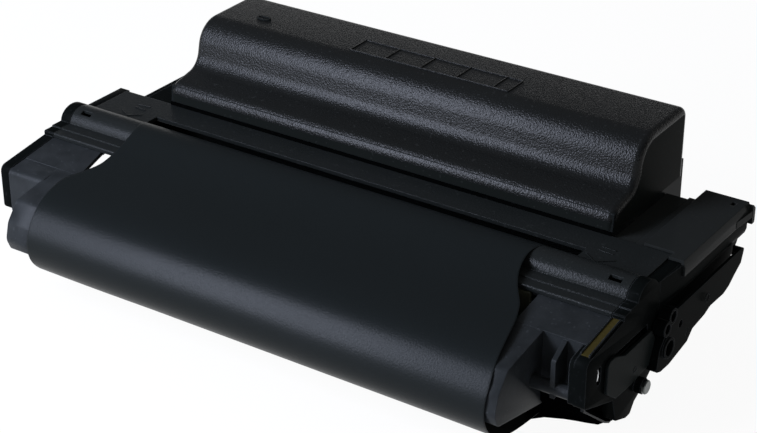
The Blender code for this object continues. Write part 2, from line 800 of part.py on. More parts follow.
def build_drum_frame(shop):
    """One moulding: two arms with guards and feet, joined by the beam under the ledge."""
    beam_z = panel_z(LEDGE_FRONT) - 0.0007
    beam_y = LEDGE_FRONT + THIN_WALL + GAP
    frame = box("drum_frame", (-HALF_FRAME, beam_y, beam_z - THIN_WALL), (HALF_FRAME, BEAM_REAR, beam_z))
    lip_end = HALF_WINDOW - BEAM_LIP_MARGIN
    lip = box("beam_lip", (-lip_end, beam_y + GAP, beam_z - BEAM_DROP), (lip_end, beam_y + WALL, beam_z - GAP))
    shop.join(frame, lip)
    for side in (-1, 1):
        guard_low, guard_high = sorted((side * HALF_WINDOW, side * GUARD_OUTER))
        guard = soften(prism("guard", rounded(guard_corners()), guard_low, guard_high), 0.0012, 2, 50.0)
        hollow = inset(guard_corners(), WALL)[:4]
        hollow += [(-0.0800, 0.0230, 0.0), (-0.0780, -0.0100, 0.0), (hollow[0][0], -0.0100, 0.0)]
        room_low, room_high = guard_low + WALL, guard_high - WALL
        panel_low, panel_high = sorted((side * HALF_WINDOW, side * HALF_FRAME))
        panel = prism("arm_panel", rounded(arm_panel_corners()), panel_low, panel_high)
        shop.join(frame, panel, guard)
        shop.cut(frame, prism("guard_room", rounded(hollow), room_low, room_high))
        build_foot(shop, frame, side)
    build_right_pockets(shop, frame)
    build_left_front(shop, frame)
    relief = [
        (-HALF_WINDOW - 0.0003, POCKET_BACK + 0.0023),
        (-HALF_WINDOW - RELIEF_WIDTH, RELIEF_REAR),
        (-HALF_WINDOW + RELIEF_WIDTH, RELIEF_REAR),
        (-HALF_WINDOW + RELIEF_WIDTH, POCKET_BACK + 0.0023),
    ]
    low = panel_z(POCKET_BACK) - 2 * WALL
    shop.cut(frame, prism("left_relief", relief, low, LEDGE_Z - THIN_WALL, "Z"))
    return shop.keep(frame, "drum_frame", BLACK_SATIN, 0.42)


def build_foot(shop, frame, side):
    """The foot under an arm: its walls run from the guard to the frame's end and draw in towards it."""
    inner, outer = side * (GUARD_OUTER - WALL + GAP), side * HALF_FRAME
    foot = loft("foot", ((inner, foot_corners(FOOT_FRONT)), (outer, foot_corners(FOOT_FRONT_OUTER))))
    room_inner, room_outer = side * (GUARD_OUTER + GAP), side * (HALF_FRAME + WALL)
    room = loft("foot_room", ((room_inner, foot_room(FOOT_FRONT)), (room_outer, foot_room(FOOT_FRONT_OUTER))))
    shop.cut(foot, room)
    shop.join(frame, foot)


def build_right_pockets(shop, frame):
    """The right arm's front stays open as two deep pockets with a rib between and a bar below."""
    rib_x = HALF_WINDOW + RIB_OFFSET
    rib = [
        (POCKET_BACK + WALL / 2, panel_z(POCKET_BACK) - 0.0008),
        (POCKET_BACK - 0.0012, panel_z(POCKET_BACK) - 0.0012),
        (ARM_FRONT + 0.0020, 0.0462),
        (ARM_FRONT + 0.0014, 0.0450),
        (ARM_FRONT + 0.0014, ARM_BOTTOM - 0.0006),
        (POCKET_BACK + WALL / 2, ARM_BOTTOM - 0.0006),
    ]
    shop.join(frame, prism("pocket_rib", rib, rib_x, rib_x + RIB_WIDTH))
    bar_z = ARM_BOTTOM + BAR_RADIUS
    bar = rod("pocket_bar", BAR_RADIUS, GUARD_OUTER - WALL / 2, HALF_FRAME - RIGHT_BOX_WIDTH - GAP,
              (ARM_FRONT + 0.0040, bar_z), 16)
    shop.join(frame, bar)


def build_left_front(shop, frame):
    """The left arm's front is closed by a wall with a rounded upper edge."""
    low, high = -HALF_FRAME, -GUARD_OUTER + WALL / 2
    front = ARM_FRONT - 0.0010
    outline = [
        (POCKET_BACK + WALL / 2, panel_z(POCKET_BACK) - 0.0001, 0.0),
        (POCKET_BACK + WALL / 2, panel_z(POCKET_BACK) - WALL, 0.0),
        (front + WALL, panel_z(front) - WALL, 0.0010),
        (front + WALL, ARM_BOTTOM, 0.0),
        (front, ARM_BOTTOM, 0.0),
        (front, panel_z(front), 0.0028),
    ]
    shop.join(frame, prism("left_arm_front", rounded(outline), low, high))


def build_waste_box(shop):
    """Tray for waste toner under the bulge; the top cover closes it."""
    half = DRUM_LENGTH / 2 - 0.0005
    front = LEDGE_FRONT + THIN_WALL + GAP + WALL + GAP
    front_top = LEDGE_Z - 0.0056
    floor = CHARGE[1] + CHARGE_RADIUS + 0.0014
    rear, rear_top = -0.0022, DECK_Z - WALL - GAP - 0.0005
    outside = [
        (front, front_top),
        (front, floor - 0.0010),
        (front + 0.0030, floor - 0.0010),
        (front + 0.0045, floor),
        (-0.0060, floor),
        (rear, floor + 0.0040),
        (rear, rear_top),
    ]
    inside = [
        (rear - THIN_WALL, rear_top),
        (rear - THIN_WALL, floor + 0.0046),
        (-0.0066, floor + THIN_WALL),
        (front + 0.0038, floor + THIN_WALL),
        (front + THIN_WALL, floor + THIN_WALL - 0.0010),
        (front + THIN_WALL, front_top),
    ]
    tray = prism("waste_box", outside + inside, -half, half)
    end = outside + [
        (BULGE_Y - 0.0050, rear_top),
        (BEAM_REAR + 0.0008, LEDGE_Z - THIN_WALL - 0.0006),
        (BEAM_REAR + 0.0008, front_top),
    ]
    for side in (-1, 1):
        low, high = sorted((side * (half - THIN_WALL), side * half))
        shop.join(tray, prism("waste_end", end, low, high))
    return shop.keep(tray, "waste_box", BLACK, 0.5)


# Ends
def end_corners(underside):
    """Side view of an end plate: it follows the deck, the bulge, the ledge and the arm."""
    rear = underside[-1][0]
    strip_z = DECK_Z - 0.0007
    points = [(rear, strip_z), (0.0, strip_z)] + cover_top_line()[2:]
    arm = rounded([
        (LEDGE_FRONT, panel_z(LEDGE_FRONT) + 0.0002, 0.0),
        (ARM_FRONT, panel_z(ARM_FRONT) + 0.0002, 0.0034),
        (ARM_FRONT, ARM_BOTTOM, 0.0024),
        (-0.0372, 0.0195, 0.0),
        (-0.0330, 0.0070, 0.0),
        (-0.0235, 0.0034, 0.0),
        (-0.0195, 0.0034, 0.0018),
        *underside,
        (rear, strip_z, 0.0),
    ])
    return [*map(Vector, points), *arm[:-1]]


def build_left_end(shop):
    outer = -PLATE_INNER - END_PLATE
    underside = [
        (-0.0150, 0.0200, 0.0),
        (-0.0130, 0.0330, 0.0020),
        (0.0277, 0.0330, 0.0),
    ]
    plate = prism("left_end_plate", end_corners(underside), outer, -PLATE_INNER)
    soften(plate, 0.0009, 2, 60.0)
    shop.cut(plate, rod("left_drum_seat", PIN_RADIUS + 0.0003, outer + THIN_WALL, -PLATE_INNER + WALL, DRUM))
    link = rod("left_link_pin", 0.0040, -PLATE_INNER - WALL / 2, -LEFT_HOUSING_OUTER - 2 * GAP - WALL,
               (0.0200, 0.0420), 16)
    shop.join(plate, link)
    return shop.keep(plate, "left_end_plate", BLACK_SATIN, 0.4)


def build_right_end(shop):
    """Right end plate: the front part is thick enough to make the arm's box, with the drum window."""
    underside = [
        (-0.0160, 0.0080, 0.0),
        (-0.0080, 0.0118, 0.0),
        (0.0020, 0.0190, 0.0040),
        (0.0300, 0.0255, 0.0),
        (0.0620, 0.0300, 0.0),
        (0.0765, 0.0380, 0.0),
        (0.0820, 0.0425, 0.0),
        (PLATE_REAR, 0.0500, 0.0),
    ]
    plate = prism("right_end_plate", end_corners(underside), PLATE_INNER, PLATE_FACE)
    soften(plate, 0.0009, 2, 60.0)
    front_box = prism(
        "arm_box",
        rounded([
            (POCKET_BACK - GAP, panel_z(POCKET_BACK) - 0.0004, 0.0),
            (ARM_FRONT, panel_z(ARM_FRONT) - 0.0004, 0.0034),
            (ARM_FRONT, ARM_BOTTOM + 0.0004, 0.0024),
            (POCKET_BACK - GAP, ARM_BOTTOM - 0.0040, 0.0),
        ]),
        HALF_FRAME - RIGHT_BOX_WIDTH,
        PLATE_INNER + WALL / 2,
    )
    shop.join(plate, front_box)
    build_flank(shop, plate)
    collar = rod("pivot_collar", COLLAR_RADIUS, PLATE_FACE - WALL, PLATE_FACE + COLLAR_REACH, (PIVOT_Y, PIVOT_Z), 24)
    shop.join(plate, collar)
    groove_low = (PLATE_FACE - GROOVE_DEPTH, -0.0420, GROOVE_LOW)
    groove_high = (PLATE_FACE + GAP / 2, -0.0080, GROOVE_TOP)
    shop.cut(plate, box("cover_groove", groove_low, groove_high))
    window = prism("drum_cover_window", rounded(window_corners()), PLATE_INNER - WALL, PLATE_FACE + WALL)
    pin_hole = rod("pivot_pin_hole", PIN_RADIUS + GAP, PLATE_FACE - PIVOT_DEPTH - GAP,
                   PLATE_FACE + COLLAR_REACH + WALL, (PIVOT_Y, PIVOT_Z))
    shop.cut(plate, window, pin_hole)
    left, right = CONTACT_Y - CONTACT_HALF_WIDTH, CONTACT_Y + CONTACT_HALF_WIDTH
    low, high = CONTACT_Z - CONTACT_HALF_HEIGHT, CONTACT_Z + CONTACT_HALF_HEIGHT
    turn = CONTACT_HALF_WIDTH * 0.7
    slot = rounded([(left, low, turn), (right, low, turn), (right, high, turn), (left, high, turn)])
    shop.cut(plate, prism("contact_slot", slot, PLATE_FACE - 0.0030, PLATE_FACE + WALL))
    return shop.keep(plate, "right_end_plate", BLACK_SATIN, 0.4)


def flank_x(y):
    """Outer face of the flank: it leaves the plate's face gently and runs level under the lid."""
    share = min(max((y - FLANK_START) / (LID_FRONT - FLANK_START), 0.0), 1.0)
    return PLATE_FACE + GAP / 4 + (FLANK_PROUD - GAP / 4) * share


def build_flank(shop, plate):
    """Raised band on the plate above the gear cover; its lower edge rolls inwards."""
    inner = PLATE_FACE - THIN_WALL
    stations = []
    for y in (FLANK_START, LID_FRONT, FLANK_REAR):
        outer = flank_x(y)
        roll = outer - PLATE_FACE
        section = [
            (inner, FLANK_TOP),
            (outer, FLANK_TOP),
            (outer, FLANK_LOW + 0.0036),
            (outer - roll * 0.35, FLANK_LOW + 0.0012),
            (outer - roll * 0.9, FLANK_LOW),
            (inner, FLANK_LOW),
        ]
        stations.append((-y, section))
    shop.join(plate, loft("plate_flank", stations, "Y"))
    front = SKIRT_FRONT - GAP
    ramp = [(inner, FLANK_START), (flank_x(FLANK_START), FLANK_START), (flank_x(front), front), (inner, front)]
    shop.join(plate, prism("flank_ramp", ramp, FLANK_TOP - THIN_WALL, DECK_Z - 0.0008, "Z"))


def window_corners():
    top, low = GROOVE_LOW - 0.0010, DRUM_Z - PIN_HEAD_RADIUS - GAP
    return [
        (-0.0400, top, 0.0020),
        (-0.0400, low, 0.0020),
        (-0.0120, low, 0.0020),
        (-0.0120, top, 0.0020),
    ]


def build_lid(shop):
    """Cover over the rear of the right end: a top with a short side wall, in one section."""
    under = LID_TOP - LID_THICKNESS
    side_low = LID_TOP - LID_SIDE_DROP
    section = [
        (LID_INNER, LID_TOP),
        (LID_SIDE - 0.0010, LID_TOP),
        (LID_SIDE, LID_TOP - 0.0036),
        (LID_SIDE, side_low),
        (LID_SIDE - THIN_WALL, side_low),
        (LID_SIDE - THIN_WALL, LID_TOP - 0.0036),
        (LID_SIDE - THIN_WALL - 0.0008, under),
        (LID_INNER, under),
    ]
    lid = prism("right_rear_lid", section, SKIRT_FRONT, LID_REAR, "Y")
    front_low = (LID_INNER - WALL, SKIRT_FRONT - WALL, COVER_TOP)
    front_high = (PLATE_INNER + GAP, LID_FRONT, LID_TOP + WALL)
    shop.cut(lid, box("lid_front_step", front_low, front_high))
    tip = rounded([
        (LID_REAR - 0.0008, under + 0.0005, 0.0),
        (LID_REAR - 0.0008, LID_TOP - 0.0106, 0.0),
        (LID_REAR + 0.0020, LID_TOP - 0.0106, 0.0010),
        (LID_REAR + 0.0020, LID_TOP - 0.0030, 0.0),
        (LID_REAR - 0.0002, under + 0.0005, 0.0),
    ])
    tip_low, tip_high = LID_SIDE - 0.0100, LID_SIDE + 0.0016
    rear_wall = prism("lid_tip", tip, tip_low, tip_high)
    corner = prism("lid_corner", [
        (LID_SIDE - THIN_WALL / 2, LID_REAR - 0.0150),
        (LID_SIDE + 0.0002, LID_REAR - 0.0150),
        (tip_high - 0.0001, LID_REAR - 0.0001),
        (LID_SIDE - THIN_WALL / 2, LID_REAR - 0.0001),
    ], side_low + 0.0003, LID_TOP - 0.0038, "Z")
    notch = box(
        "lid_notch",
        (LID_SIDE - 0.0030, LID_REAR + 0.0006, LID_TOP - 0.0090),
        (LID_SIDE + 2 * WALL, LID_REAR + 0.0014, LID_TOP - 0.0070),
    )
    hole_x, hole_y = LID_SIDE - 0.0061, LID_REAR - 0.0060
    hole = box(
        "lid_hole",
        (hole_x - 0.0010, hole_y - 0.0018, LID_TOP - 2 * WALL),
        (hole_x + 0.0011, hole_y + 0.0018, LID_TOP + WALL),
    )
    shop.join(lid, rear_wall, corner)
    shop.cut(lid, notch, hole)
    return shop.keep(lid, "right_rear_lid", BLACK_SATIN, 0.42)


def gear_cover_corners():
    return [
        (0.0100, COVER_TOP, 0.0015),
        (0.0000, 0.0345, 0.0),
        (-0.0045, 0.0290, 0.0),
        (-0.0066, 0.0190, 0.0014),
        (-0.0020, 0.0174, 0.0),
        (0.0060, 0.0171, 0.0),
        (0.0235, 0.0201, 0.0),
        (0.0284, 0.0243, 0.0),
        (0.0404, 0.0256, 0.0),
        (0.0460, 0.0274, 0.0),
        (0.0600, 0.0270, 0.0),
        (0.0655, 0.0286, 0.0),
        (0.0709, 0.0320, 0.0),
        (0.0772, 0.0354, 0.0),
        (0.0800, COVER_TOP, 0.0015),
    ]


def build_gear_cover(shop):
    """Dish over the gear train, with a pair of bosses and a hub at its front."""
    low = PLATE_FACE + GAP
    cover = prism("gear_cover", rounded(gear_cover_corners()), low, COVER_FACE)
    soften(cover, 0.0007, 1, 50.0)
    room = prism("gear_cover_room", rounded(inset(gear_cover_corners(), WALL)), low - WALL, COVER_FACE - WALL)
    shop.cut(cover, room)
    slot_low = (low - WALL, 0.0118, COVER_TOP - COVER_SLOT_DEPTH)
    slot_high = (COVER_FACE - THIN_WALL, 0.0770, COVER_TOP + WALL)
    shop.cut(cover, box("gear_cover_slot", slot_low, slot_high))
    for label, centre, radius in BOSSES:
        shop.join(cover, rod(label, radius, PLATE_FACE + 2 * GAP, COVER_FACE + 0.0012, centre, 24))
    for label, centre, radius in BOSSES:
        depth = COVER_FACE - 0.0030 if label == "hub" else PLATE_FACE + 0.0010
        shop.cut(cover, rod(label + "_hole", radius - BOSS_WALL, depth, COVER_FACE + WALL, centre, 24))
    shop.cut(cover, rod("vent_hole", 0.0019, COVER_FACE - 2 * WALL, COVER_FACE + WALL, (0.0152, 0.0333), 14))
    slit = [(0.0212, 0.0241), (0.0220, 0.0239), (0.0242, 0.0268), (0.0234, 0.0271)]
    shop.cut(cover, prism("vent_slit", slit, COVER_FACE - 2 * WALL, COVER_FACE + WALL))
    return shop.keep(cover, "gear_cover", BLACK_SATIN, 0.42)


def drum_cover_corners():
    return [
        (-0.0470, 0.0285, 0.0025),
        (-0.0466, 0.0436, 0.0028),
        (-0.0402, 0.0434, 0.0),
        (-0.0310, 0.0395, 0.0),
        (-0.0068, 0.0395, 0.0),
        (-0.0030, 0.0340, 0.0),
        (-0.0050, 0.0296, 0.0),
        (-0.0076, 0.0226, 0.0),
        (-0.0240, 0.0212, 0.0),
        (-0.0380, 0.0217, 0.0),
    ]


def build_drum_cover(shop):
    low = PLATE_FACE + GAP
    plate = prism("drum_cover", rounded(drum_cover_corners()), low, low + THIN_WALL)
    soften(plate, 0.0005, 1, 50.0)
    return shop.keep(plate, "drum_cover", BLACK_SATIN, 0.42)


def build_pivot_pin(shop):
    """Steel pin that the two units swing on, pressed in the right end plate."""
    inner = PLATE_FACE - PIVOT_DEPTH
    outer = PLATE_FACE + PIVOT_REACH
    profile = [
        (outer, 0.0),
        (outer, PIVOT_RADIUS - 0.0004),
        (outer - 0.0004, PIVOT_RADIUS),
        (PLATE_FACE + COLLAR_REACH + GAP, PIVOT_RADIUS),
        (PLATE_FACE + COLLAR_REACH + GAP, PIN_RADIUS),
        (inner, PIN_RADIUS),
        (inner, 0.0),
    ]
    pin = turned("pivot_pin", profile, (PIVOT_Y, PIVOT_Z), 24)
    return shop.keep(pin, "pivot_pin", STEEL, 0.35, 1.0)


def build_contact(shop):
    """Bent spring wire that shows in the slot of the right arm."""
    x = PLATE_FACE - 0.0018
    path = [
        (x - 0.0004, CONTACT_Y - 0.0002, CONTACT_Z - 0.0027),
        (x + 0.0006, CONTACT_Y - 0.0007, CONTACT_Z - 0.0012),
        (x + 0.0008, CONTACT_Y - 0.0005, CONTACT_Z + 0.0008),
        (x - 0.0004, CONTACT_Y + 0.0006, CONTACT_Z + 0.0027),
    ]
    return shop.keep(wire("contact_spring", path, 0.0005), "contact_spring", STEEL, 0.25, 1.0)


def wire(name, path, radius):
    curve = bpy.data.curves.new(name, "CURVE")
    curve.dimensions = "3D"
    curve.bevel_depth = radius
    curve.bevel_resolution = 2
    curve.use_fill_caps = True
    spline = curve.splines.new("POLY")
    spline.points.add(len(path) - 1)
    for point, place in zip(spline.points, path):
        point.co = (*place, 1.0)
    return curve_to_mesh(bpy.data.objects.new(name + "_path", curve), name)


def build_foam_strip(shop):
    """Pale strip stuck along the outer edge of the right arm's panel."""
    low = PLATE_INNER + 0.0010
    front, rear = ARM_FRONT + 0.0040, LEDGE_FRONT - 0.0012
    lift = 0.0002 + GAP
    section = [
        (front, panel_z(front) + lift),
        (rear, panel_z(rear) + lift),
        (rear, panel_z(rear) + lift + STRIP_THICKNESS),
        (front, panel_z(front) + lift + STRIP_THICKNESS),
    ]
    strip = prism("edge_strip", section, low, low + 0.0034)
    return shop.keep(strip, "edge_strip", YELLOW_FOAM, 0.7)


# Protective sheet
def sheet_path():
    """The sheet's inner face in the Y-Z plane, from inside the slot over the bulge, round the guards and under."""
    lift = GAP
    start = [
        (SLOT_FRONT + 0.0009, DECK_Z - 0.0035),
        (SLOT_FRONT + 0.0008, DECK_Z - 0.0008),
        (SLOT_FRONT - 0.0006, DECK_Z + 0.0006),
    ]
    top = arc((BULGE_Y, BULGE_Z), BULGE_DEPTH + lift, BULGE_HEIGHT + lift, 40.0, 118.0, 9)
    guard = rounded([(*top[-1], 0.0), *sheet_guard_corners()], SHEET_ARC_STEPS)
    under = [
        (GUARD_FRONT + 0.0320, 0.0068),
        (GUARD_FRONT + 0.0480, 0.0052),
    ]
    return [*map(Vector, start + top[:-1]), *guard, *map(Vector, under)]


def sheet_guard_corners():
    """Where the sheet bends between the ledge and its end under the guards."""
    lift = GAP
    return [
        (LEDGE_FRONT - 0.0004, LEDGE_Z + lift, 0.0600),
        (-0.0800, panel_z(-0.0800) + lift + 0.0005, 0.0100),
        (-0.0877, 0.0393, 0.0120),
        (GUARD_FRONT - 2 * lift, GUARD_NOSE_Z, 0.0120),
        (-0.0874, 0.0203, 0.0070),
        (-0.0762, 0.0108, 0.0080),
        (-0.0640, 0.0076, 0.0),
    ]


def edge_place(knots, y):
    """Smooth line through (y, distance) knots that run towards -Y."""
    if y >= knots[0][0]:
        return knots[0][1]
    for index in range(len(knots) - 1):
        (y_0, x_0), (y_1, x_1) = knots[index], knots[index + 1]
        if y >= y_1:
            before = knots[max(index - 1, 0)]
            after = knots[min(index + 2, len(knots) - 1)]
            slope_0 = (x_1 - before[1]) / (y_1 - before[0])
            slope_1 = (after[1] - x_0) / (after[0] - y_0)
            share, span = (y - y_0) / (y_1 - y_0), y_1 - y_0
            square, cube = share**2, share**3
            return (
                (2 * cube - 3 * square + 1) * x_0
                + (cube - 2 * square + share) * span * slope_0
                + (3 * square - 2 * cube) * x_1
                + (cube - square) * span * slope_1
            )
    return knots[-1][1]


def even_points(points, step):
    """Adds points along a line so that no stretch is longer than step."""
    filled = [points[0]]
    for first, second in zip(points, points[1:]):
        count = max(1, math.ceil((second - first).length / step))
        filled += [first.lerp(second, (index + 1) / count) for index in range(count)]
    return filled


def build_sheet(shop):
    """Thin black sheet that keeps light off the drum until the cartridge is used."""
    path = even_points(sheet_path(), SHEET_STEP)
    edges = []
    furthest = path[0].x
    for point in path:
        furthest = min(furthest, point.x)
        left = -HALF_WINDOW - edge_place(SHEET_LEFT_EDGE, furthest)
        right = HALF_WINDOW + edge_place(SHEET_RIGHT_EDGE, furthest)
        edges.append((left, right))
    mesh = bpy.data.meshes.new("drum_sheet")
    work = bmesh.new()
    bmesh.ops.create_grid(work, x_segments=1, y_segments=len(path) - 1, size=1.0)
    for vert in work.verts:
        row = round((vert.co.y + 1) / 2 * (len(path) - 1))
        side = 1 if vert.co.x > 0 else 0
        vert.co = (edges[row][side], *path[row])
    bmesh.ops.recalc_face_normals(work, faces=work.faces)
    work.to_mesh(mesh)
    work.free()
    sheet = bpy.data.objects.new("drum_sheet", mesh)
    skin = sheet.modifiers.new("Thickness", "SOLIDIFY")
    skin.thickness = SHEET_THICKNESS
    skin.offset = -1.0 if mesh.polygons[len(mesh.polygons) // 2].normal.z < 0 else 1.0
    return shop.keep(sheet, "drum_sheet", DEEP_BLACK, 0.55)


# Blades
def build_blades(shop):
    half = DEVELOPER_LENGTH / 2
    roof = TANK_MOUTH_TOP
    top = roof + GAP
    holder = [
        (0.0132, top + 0.0026),
        (TANK_MOUTH_BACK, top),
        (-0.0036, top),
        (-0.0036, top + BLADE_STEEL),
        (TANK_MOUTH_BACK - 0.0002, top + BLADE_STEEL),
        (0.0130, top + 0.0026 + BLADE_STEEL),
    ]
    shop.keep(prism("doctor_holder", holder, -half, half), "doctor_holder", STEEL, 0.35, 1.0)
    reach = DEVELOPER_RADIUS + RUNNING_GAP
    tip_y = DEVELOPER[0] + 0.0018
    tip_z = DEVELOPER[1] + math.sqrt(reach**2 - (tip_y - DEVELOPER[0]) ** 2)
    root_y = TANK_MOUTH_BACK - 0.0016
    blade = [
        (root_y, top - GAP),
        (root_y, top - GAP - 0.0005),
        (tip_y, tip_z),
        (tip_y, tip_z + 0.0005),
        (-0.0020, top - GAP),
    ]
    shop.keep(prism("doctor_blade", blade, -half, half), "doctor_blade", STEEL, 0.25, 1.0)

    half = DRUM_LENGTH / 2 - 0.0010
    rear = LEDGE_FRONT + THIN_WALL
    front = rear - BLADE_STEEL
    high = LEDGE_Z - LEDGE_DROP + 0.0016 - 0.0010
    low = DRUM_Z + DRUM_RADIUS + 0.0026
    plate = [(front, high), (front, low), (rear, low), (rear, high)]
    shop.keep(prism("cleaning_holder", plate, -half, half), "cleaning_holder", (0.33, 0.34, 0.20), 0.4, 0.8)
    blade_front = rear + GAP
    drop = math.sqrt(DRUM_RADIUS**2 - max(abs(blade_front - DRUM_Y), 0.0) ** 2)
    edge = [
        (blade_front, low + 0.0046),
        (blade_front, DRUM_Z + drop + RUNNING_GAP),
        (blade_front + 0.0019, DRUM_Z + drop + RUNNING_GAP),
        (blade_front + 0.0019, low + 0.0046),
    ]
    return shop.keep(prism("cleaning_blade", edge, -half, half), "cleaning_blade", CREAM, 0.4)


# Rollers and their gears
def gear_outline(teeth, phase):
    """Straight-sided teeth with backlash, worked out around the pitch circle."""
    pitch = pitch_radius(teeth)
    tip = pitch + MODULE * TIP_SHARE
    root = pitch - MODULE * ROOT_SHARE
    tooth = math.tau / teeth
    thickness = (math.pi * MODULE / 2 - BACKLASH) / pitch
    lean = math.tan(math.radians(20.0))
    points = []
    for index in range(teeth):
        middle = phase + tooth * index
        for radius, side in ((root, -1), (tip, -1), (tip, 1), (root, 1)):
            half_width = thickness / 2 - (radius - pitch) * lean / pitch
            turn = middle + side * half_width
            points.append(Vector((radius * math.cos(turn), radius * math.sin(turn))))
    return points


def meshed_phase(first_teeth, first_phase, first, second_teeth, second):
    """The turn of the second gear that puts a gap where the first has a tooth."""
    angle = math.atan2(second[1] - first[1], second[0] - first[0])
    first_share = first_teeth * (angle - first_phase)
    return angle + math.pi - (math.pi - first_share) / second_teeth


def add_gear(shop, name, teeth, phase, centre, bore, hub=()):
    """A gear in the common plane, with a bore and hub rings given as (low, high, radius)."""
    outline = gear_outline(teeth, phase)
    gear = prism(name, outline, GEAR_LOW, GEAR_HIGH, holes=(circle(bore, SMALL_SIDES),), centre=centre)
    for number, (low, high, radius) in enumerate(hub):
        ring = prism(name + "_hub_%d" % number, circle(radius, 24), low, high,
                     holes=(circle(bore, SMALL_SIDES),), centre=centre)
        shop.join(gear, ring)
    return shop.keep(gear, name, NATURAL, 0.45)


def roller(shop, name, length, radius, bore, centre, colour, roughness, sides=ROUND_SIDES):
    profile = [
        (length / 2, bore),
        (length / 2, radius - 0.0004),
        (length / 2 - 0.0004, radius),
        (-length / 2 + 0.0004, radius),
        (-length / 2, radius - 0.0004),
        (-length / 2, bore),
    ]
    return shop.keep(turned(name, profile, centre, sides), name, colour, roughness)


def shaft(shop, name, low, high, centre):
    profile = [
        (high, 0.0),
        (high, SHAFT_RADIUS - 0.0004),
        (high - 0.0004, SHAFT_RADIUS),
        (low + 0.0004, SHAFT_RADIUS),
        (low, SHAFT_RADIUS - 0.0004),
        (low, 0.0),
    ]
    return shop.keep(turned(name, profile, centre, SMALL_SIDES), name, STEEL, 0.25, 1.0)


def build_drum(shop, phase):
    half = DRUM_LENGTH / 2
    inner = DRUM_RADIUS - DRUM_WALL
    tube = [(half, inner), (half, DRUM_RADIUS), (-half, DRUM_RADIUS), (-half, inner)]
    shop.keep(turned("opc_drum", tube, DRUM, 40), "opc_drum", DRUM_GREEN, 0.2)
    bore = PIN_RADIUS + RUNNING_GAP
    plug = inner - GAP
    depth = 0.0080
    rim = 0.0025
    flange = [
        (-half + depth, bore),
        (-half + depth, plug),
        (-half - GAP, plug),
        (-half - GAP, DRUM_RADIUS),
        (-half - GAP - rim, DRUM_RADIUS),
        (-half - GAP - rim, bore),
    ]
    shop.keep(turned("drum_flange", flange, DRUM, 28), "drum_flange", NATURAL, 0.45)
    hubs = (
        (half - depth, half + GAP + 0.0005, plug),
        (half + GAP, half + GAP + rim, DRUM_RADIUS - 0.0003),
        (half + GAP + rim - 0.0005, GEAR_LOW + 0.0005, 0.0070),
    )
    add_gear(shop, "drum_gear", DRUM_TEETH, phase, DRUM, bore, hubs)
    left = [
        (-half + depth + 0.0010, 0.0),
        (-half + depth + 0.0010, PIN_RADIUS),
        (-PLATE_INNER - END_PLATE + THIN_WALL + GAP, PIN_RADIUS),
        (-PLATE_INNER - END_PLATE + THIN_WALL + GAP, 0.0),
    ]
    shop.keep(turned("drum_pin_left", left, DRUM, SMALL_SIDES), "drum_pin_left", STEEL, 0.3, 1.0)
    right = [
        (PLATE_FACE, 0.0),
        (PLATE_FACE, PIN_HEAD_RADIUS),
        (GEAR_HIGH + RUNNING_GAP, PIN_HEAD_RADIUS),
        (GEAR_HIGH + RUNNING_GAP, PIN_RADIUS),
        (half - depth - 0.0010, PIN_RADIUS),
        (half - depth - 0.0010, 0.0),
    ]
    return shop.keep(turned("drum_pin_right", right, DRUM, SMALL_SIDES), "drum_pin_right", STEEL, 0.3, 1.0)


def build_charge_roller(shop):
    bore = SHAFT_RADIUS + GAP
    roller(shop, "charge_roller", CHARGE_LENGTH, CHARGE_RADIUS, bore, CHARGE, RUBBER, 0.6)
    reach = CHARGE_LENGTH / 2 + 0.0060
    shaft(shop, "charge_shaft", -reach, reach, CHARGE)
    for side, label in ((-1, "left"), (1, "right")):
        inner = CHARGE_LENGTH / 2 + 0.0008
        low, high = sorted((side * inner, side * (inner + 0.0042)))
        name = "charge_bearing_" + label
        block = box(
            name,
            (low, CHARGE[0] - BEARING_HALF, CHARGE[1] - BEARING_HALF),
            (high, CHARGE[0] + BEARING_HALF, CHARGE[1] + BEARING_TOP),
        )
        shop.cut(block, rod(name + "_bore", SHAFT_RADIUS + RUNNING_GAP, low - WALL, high + WALL, CHARGE))
        shop.keep(block, name, NATURAL, 0.5)
        build_spring(shop, "charge_spring_" + label, (low + high) / 2)


def build_spring(shop, name, x):
    """Small coil that presses a charge bearing down from the waste box."""
    low = CHARGE[1] + BEARING_TOP + 0.0005
    high = CHARGE[1] + CHARGE_RADIUS + 0.0014 - 0.0005
    turns, per_turn, radius = 2.5, 10, 0.0017
    count = round(turns * per_turn)
    path = []
    for index in range(count + 1):
        turn = math.tau * index / per_turn
        rise = low + (high - low) * index / count
        path.append((x + radius * math.cos(turn), CHARGE[0] + radius * math.sin(turn), rise))
    shop.keep(wire(name, path, 0.0002), name, STEEL, 0.3, 1.0)


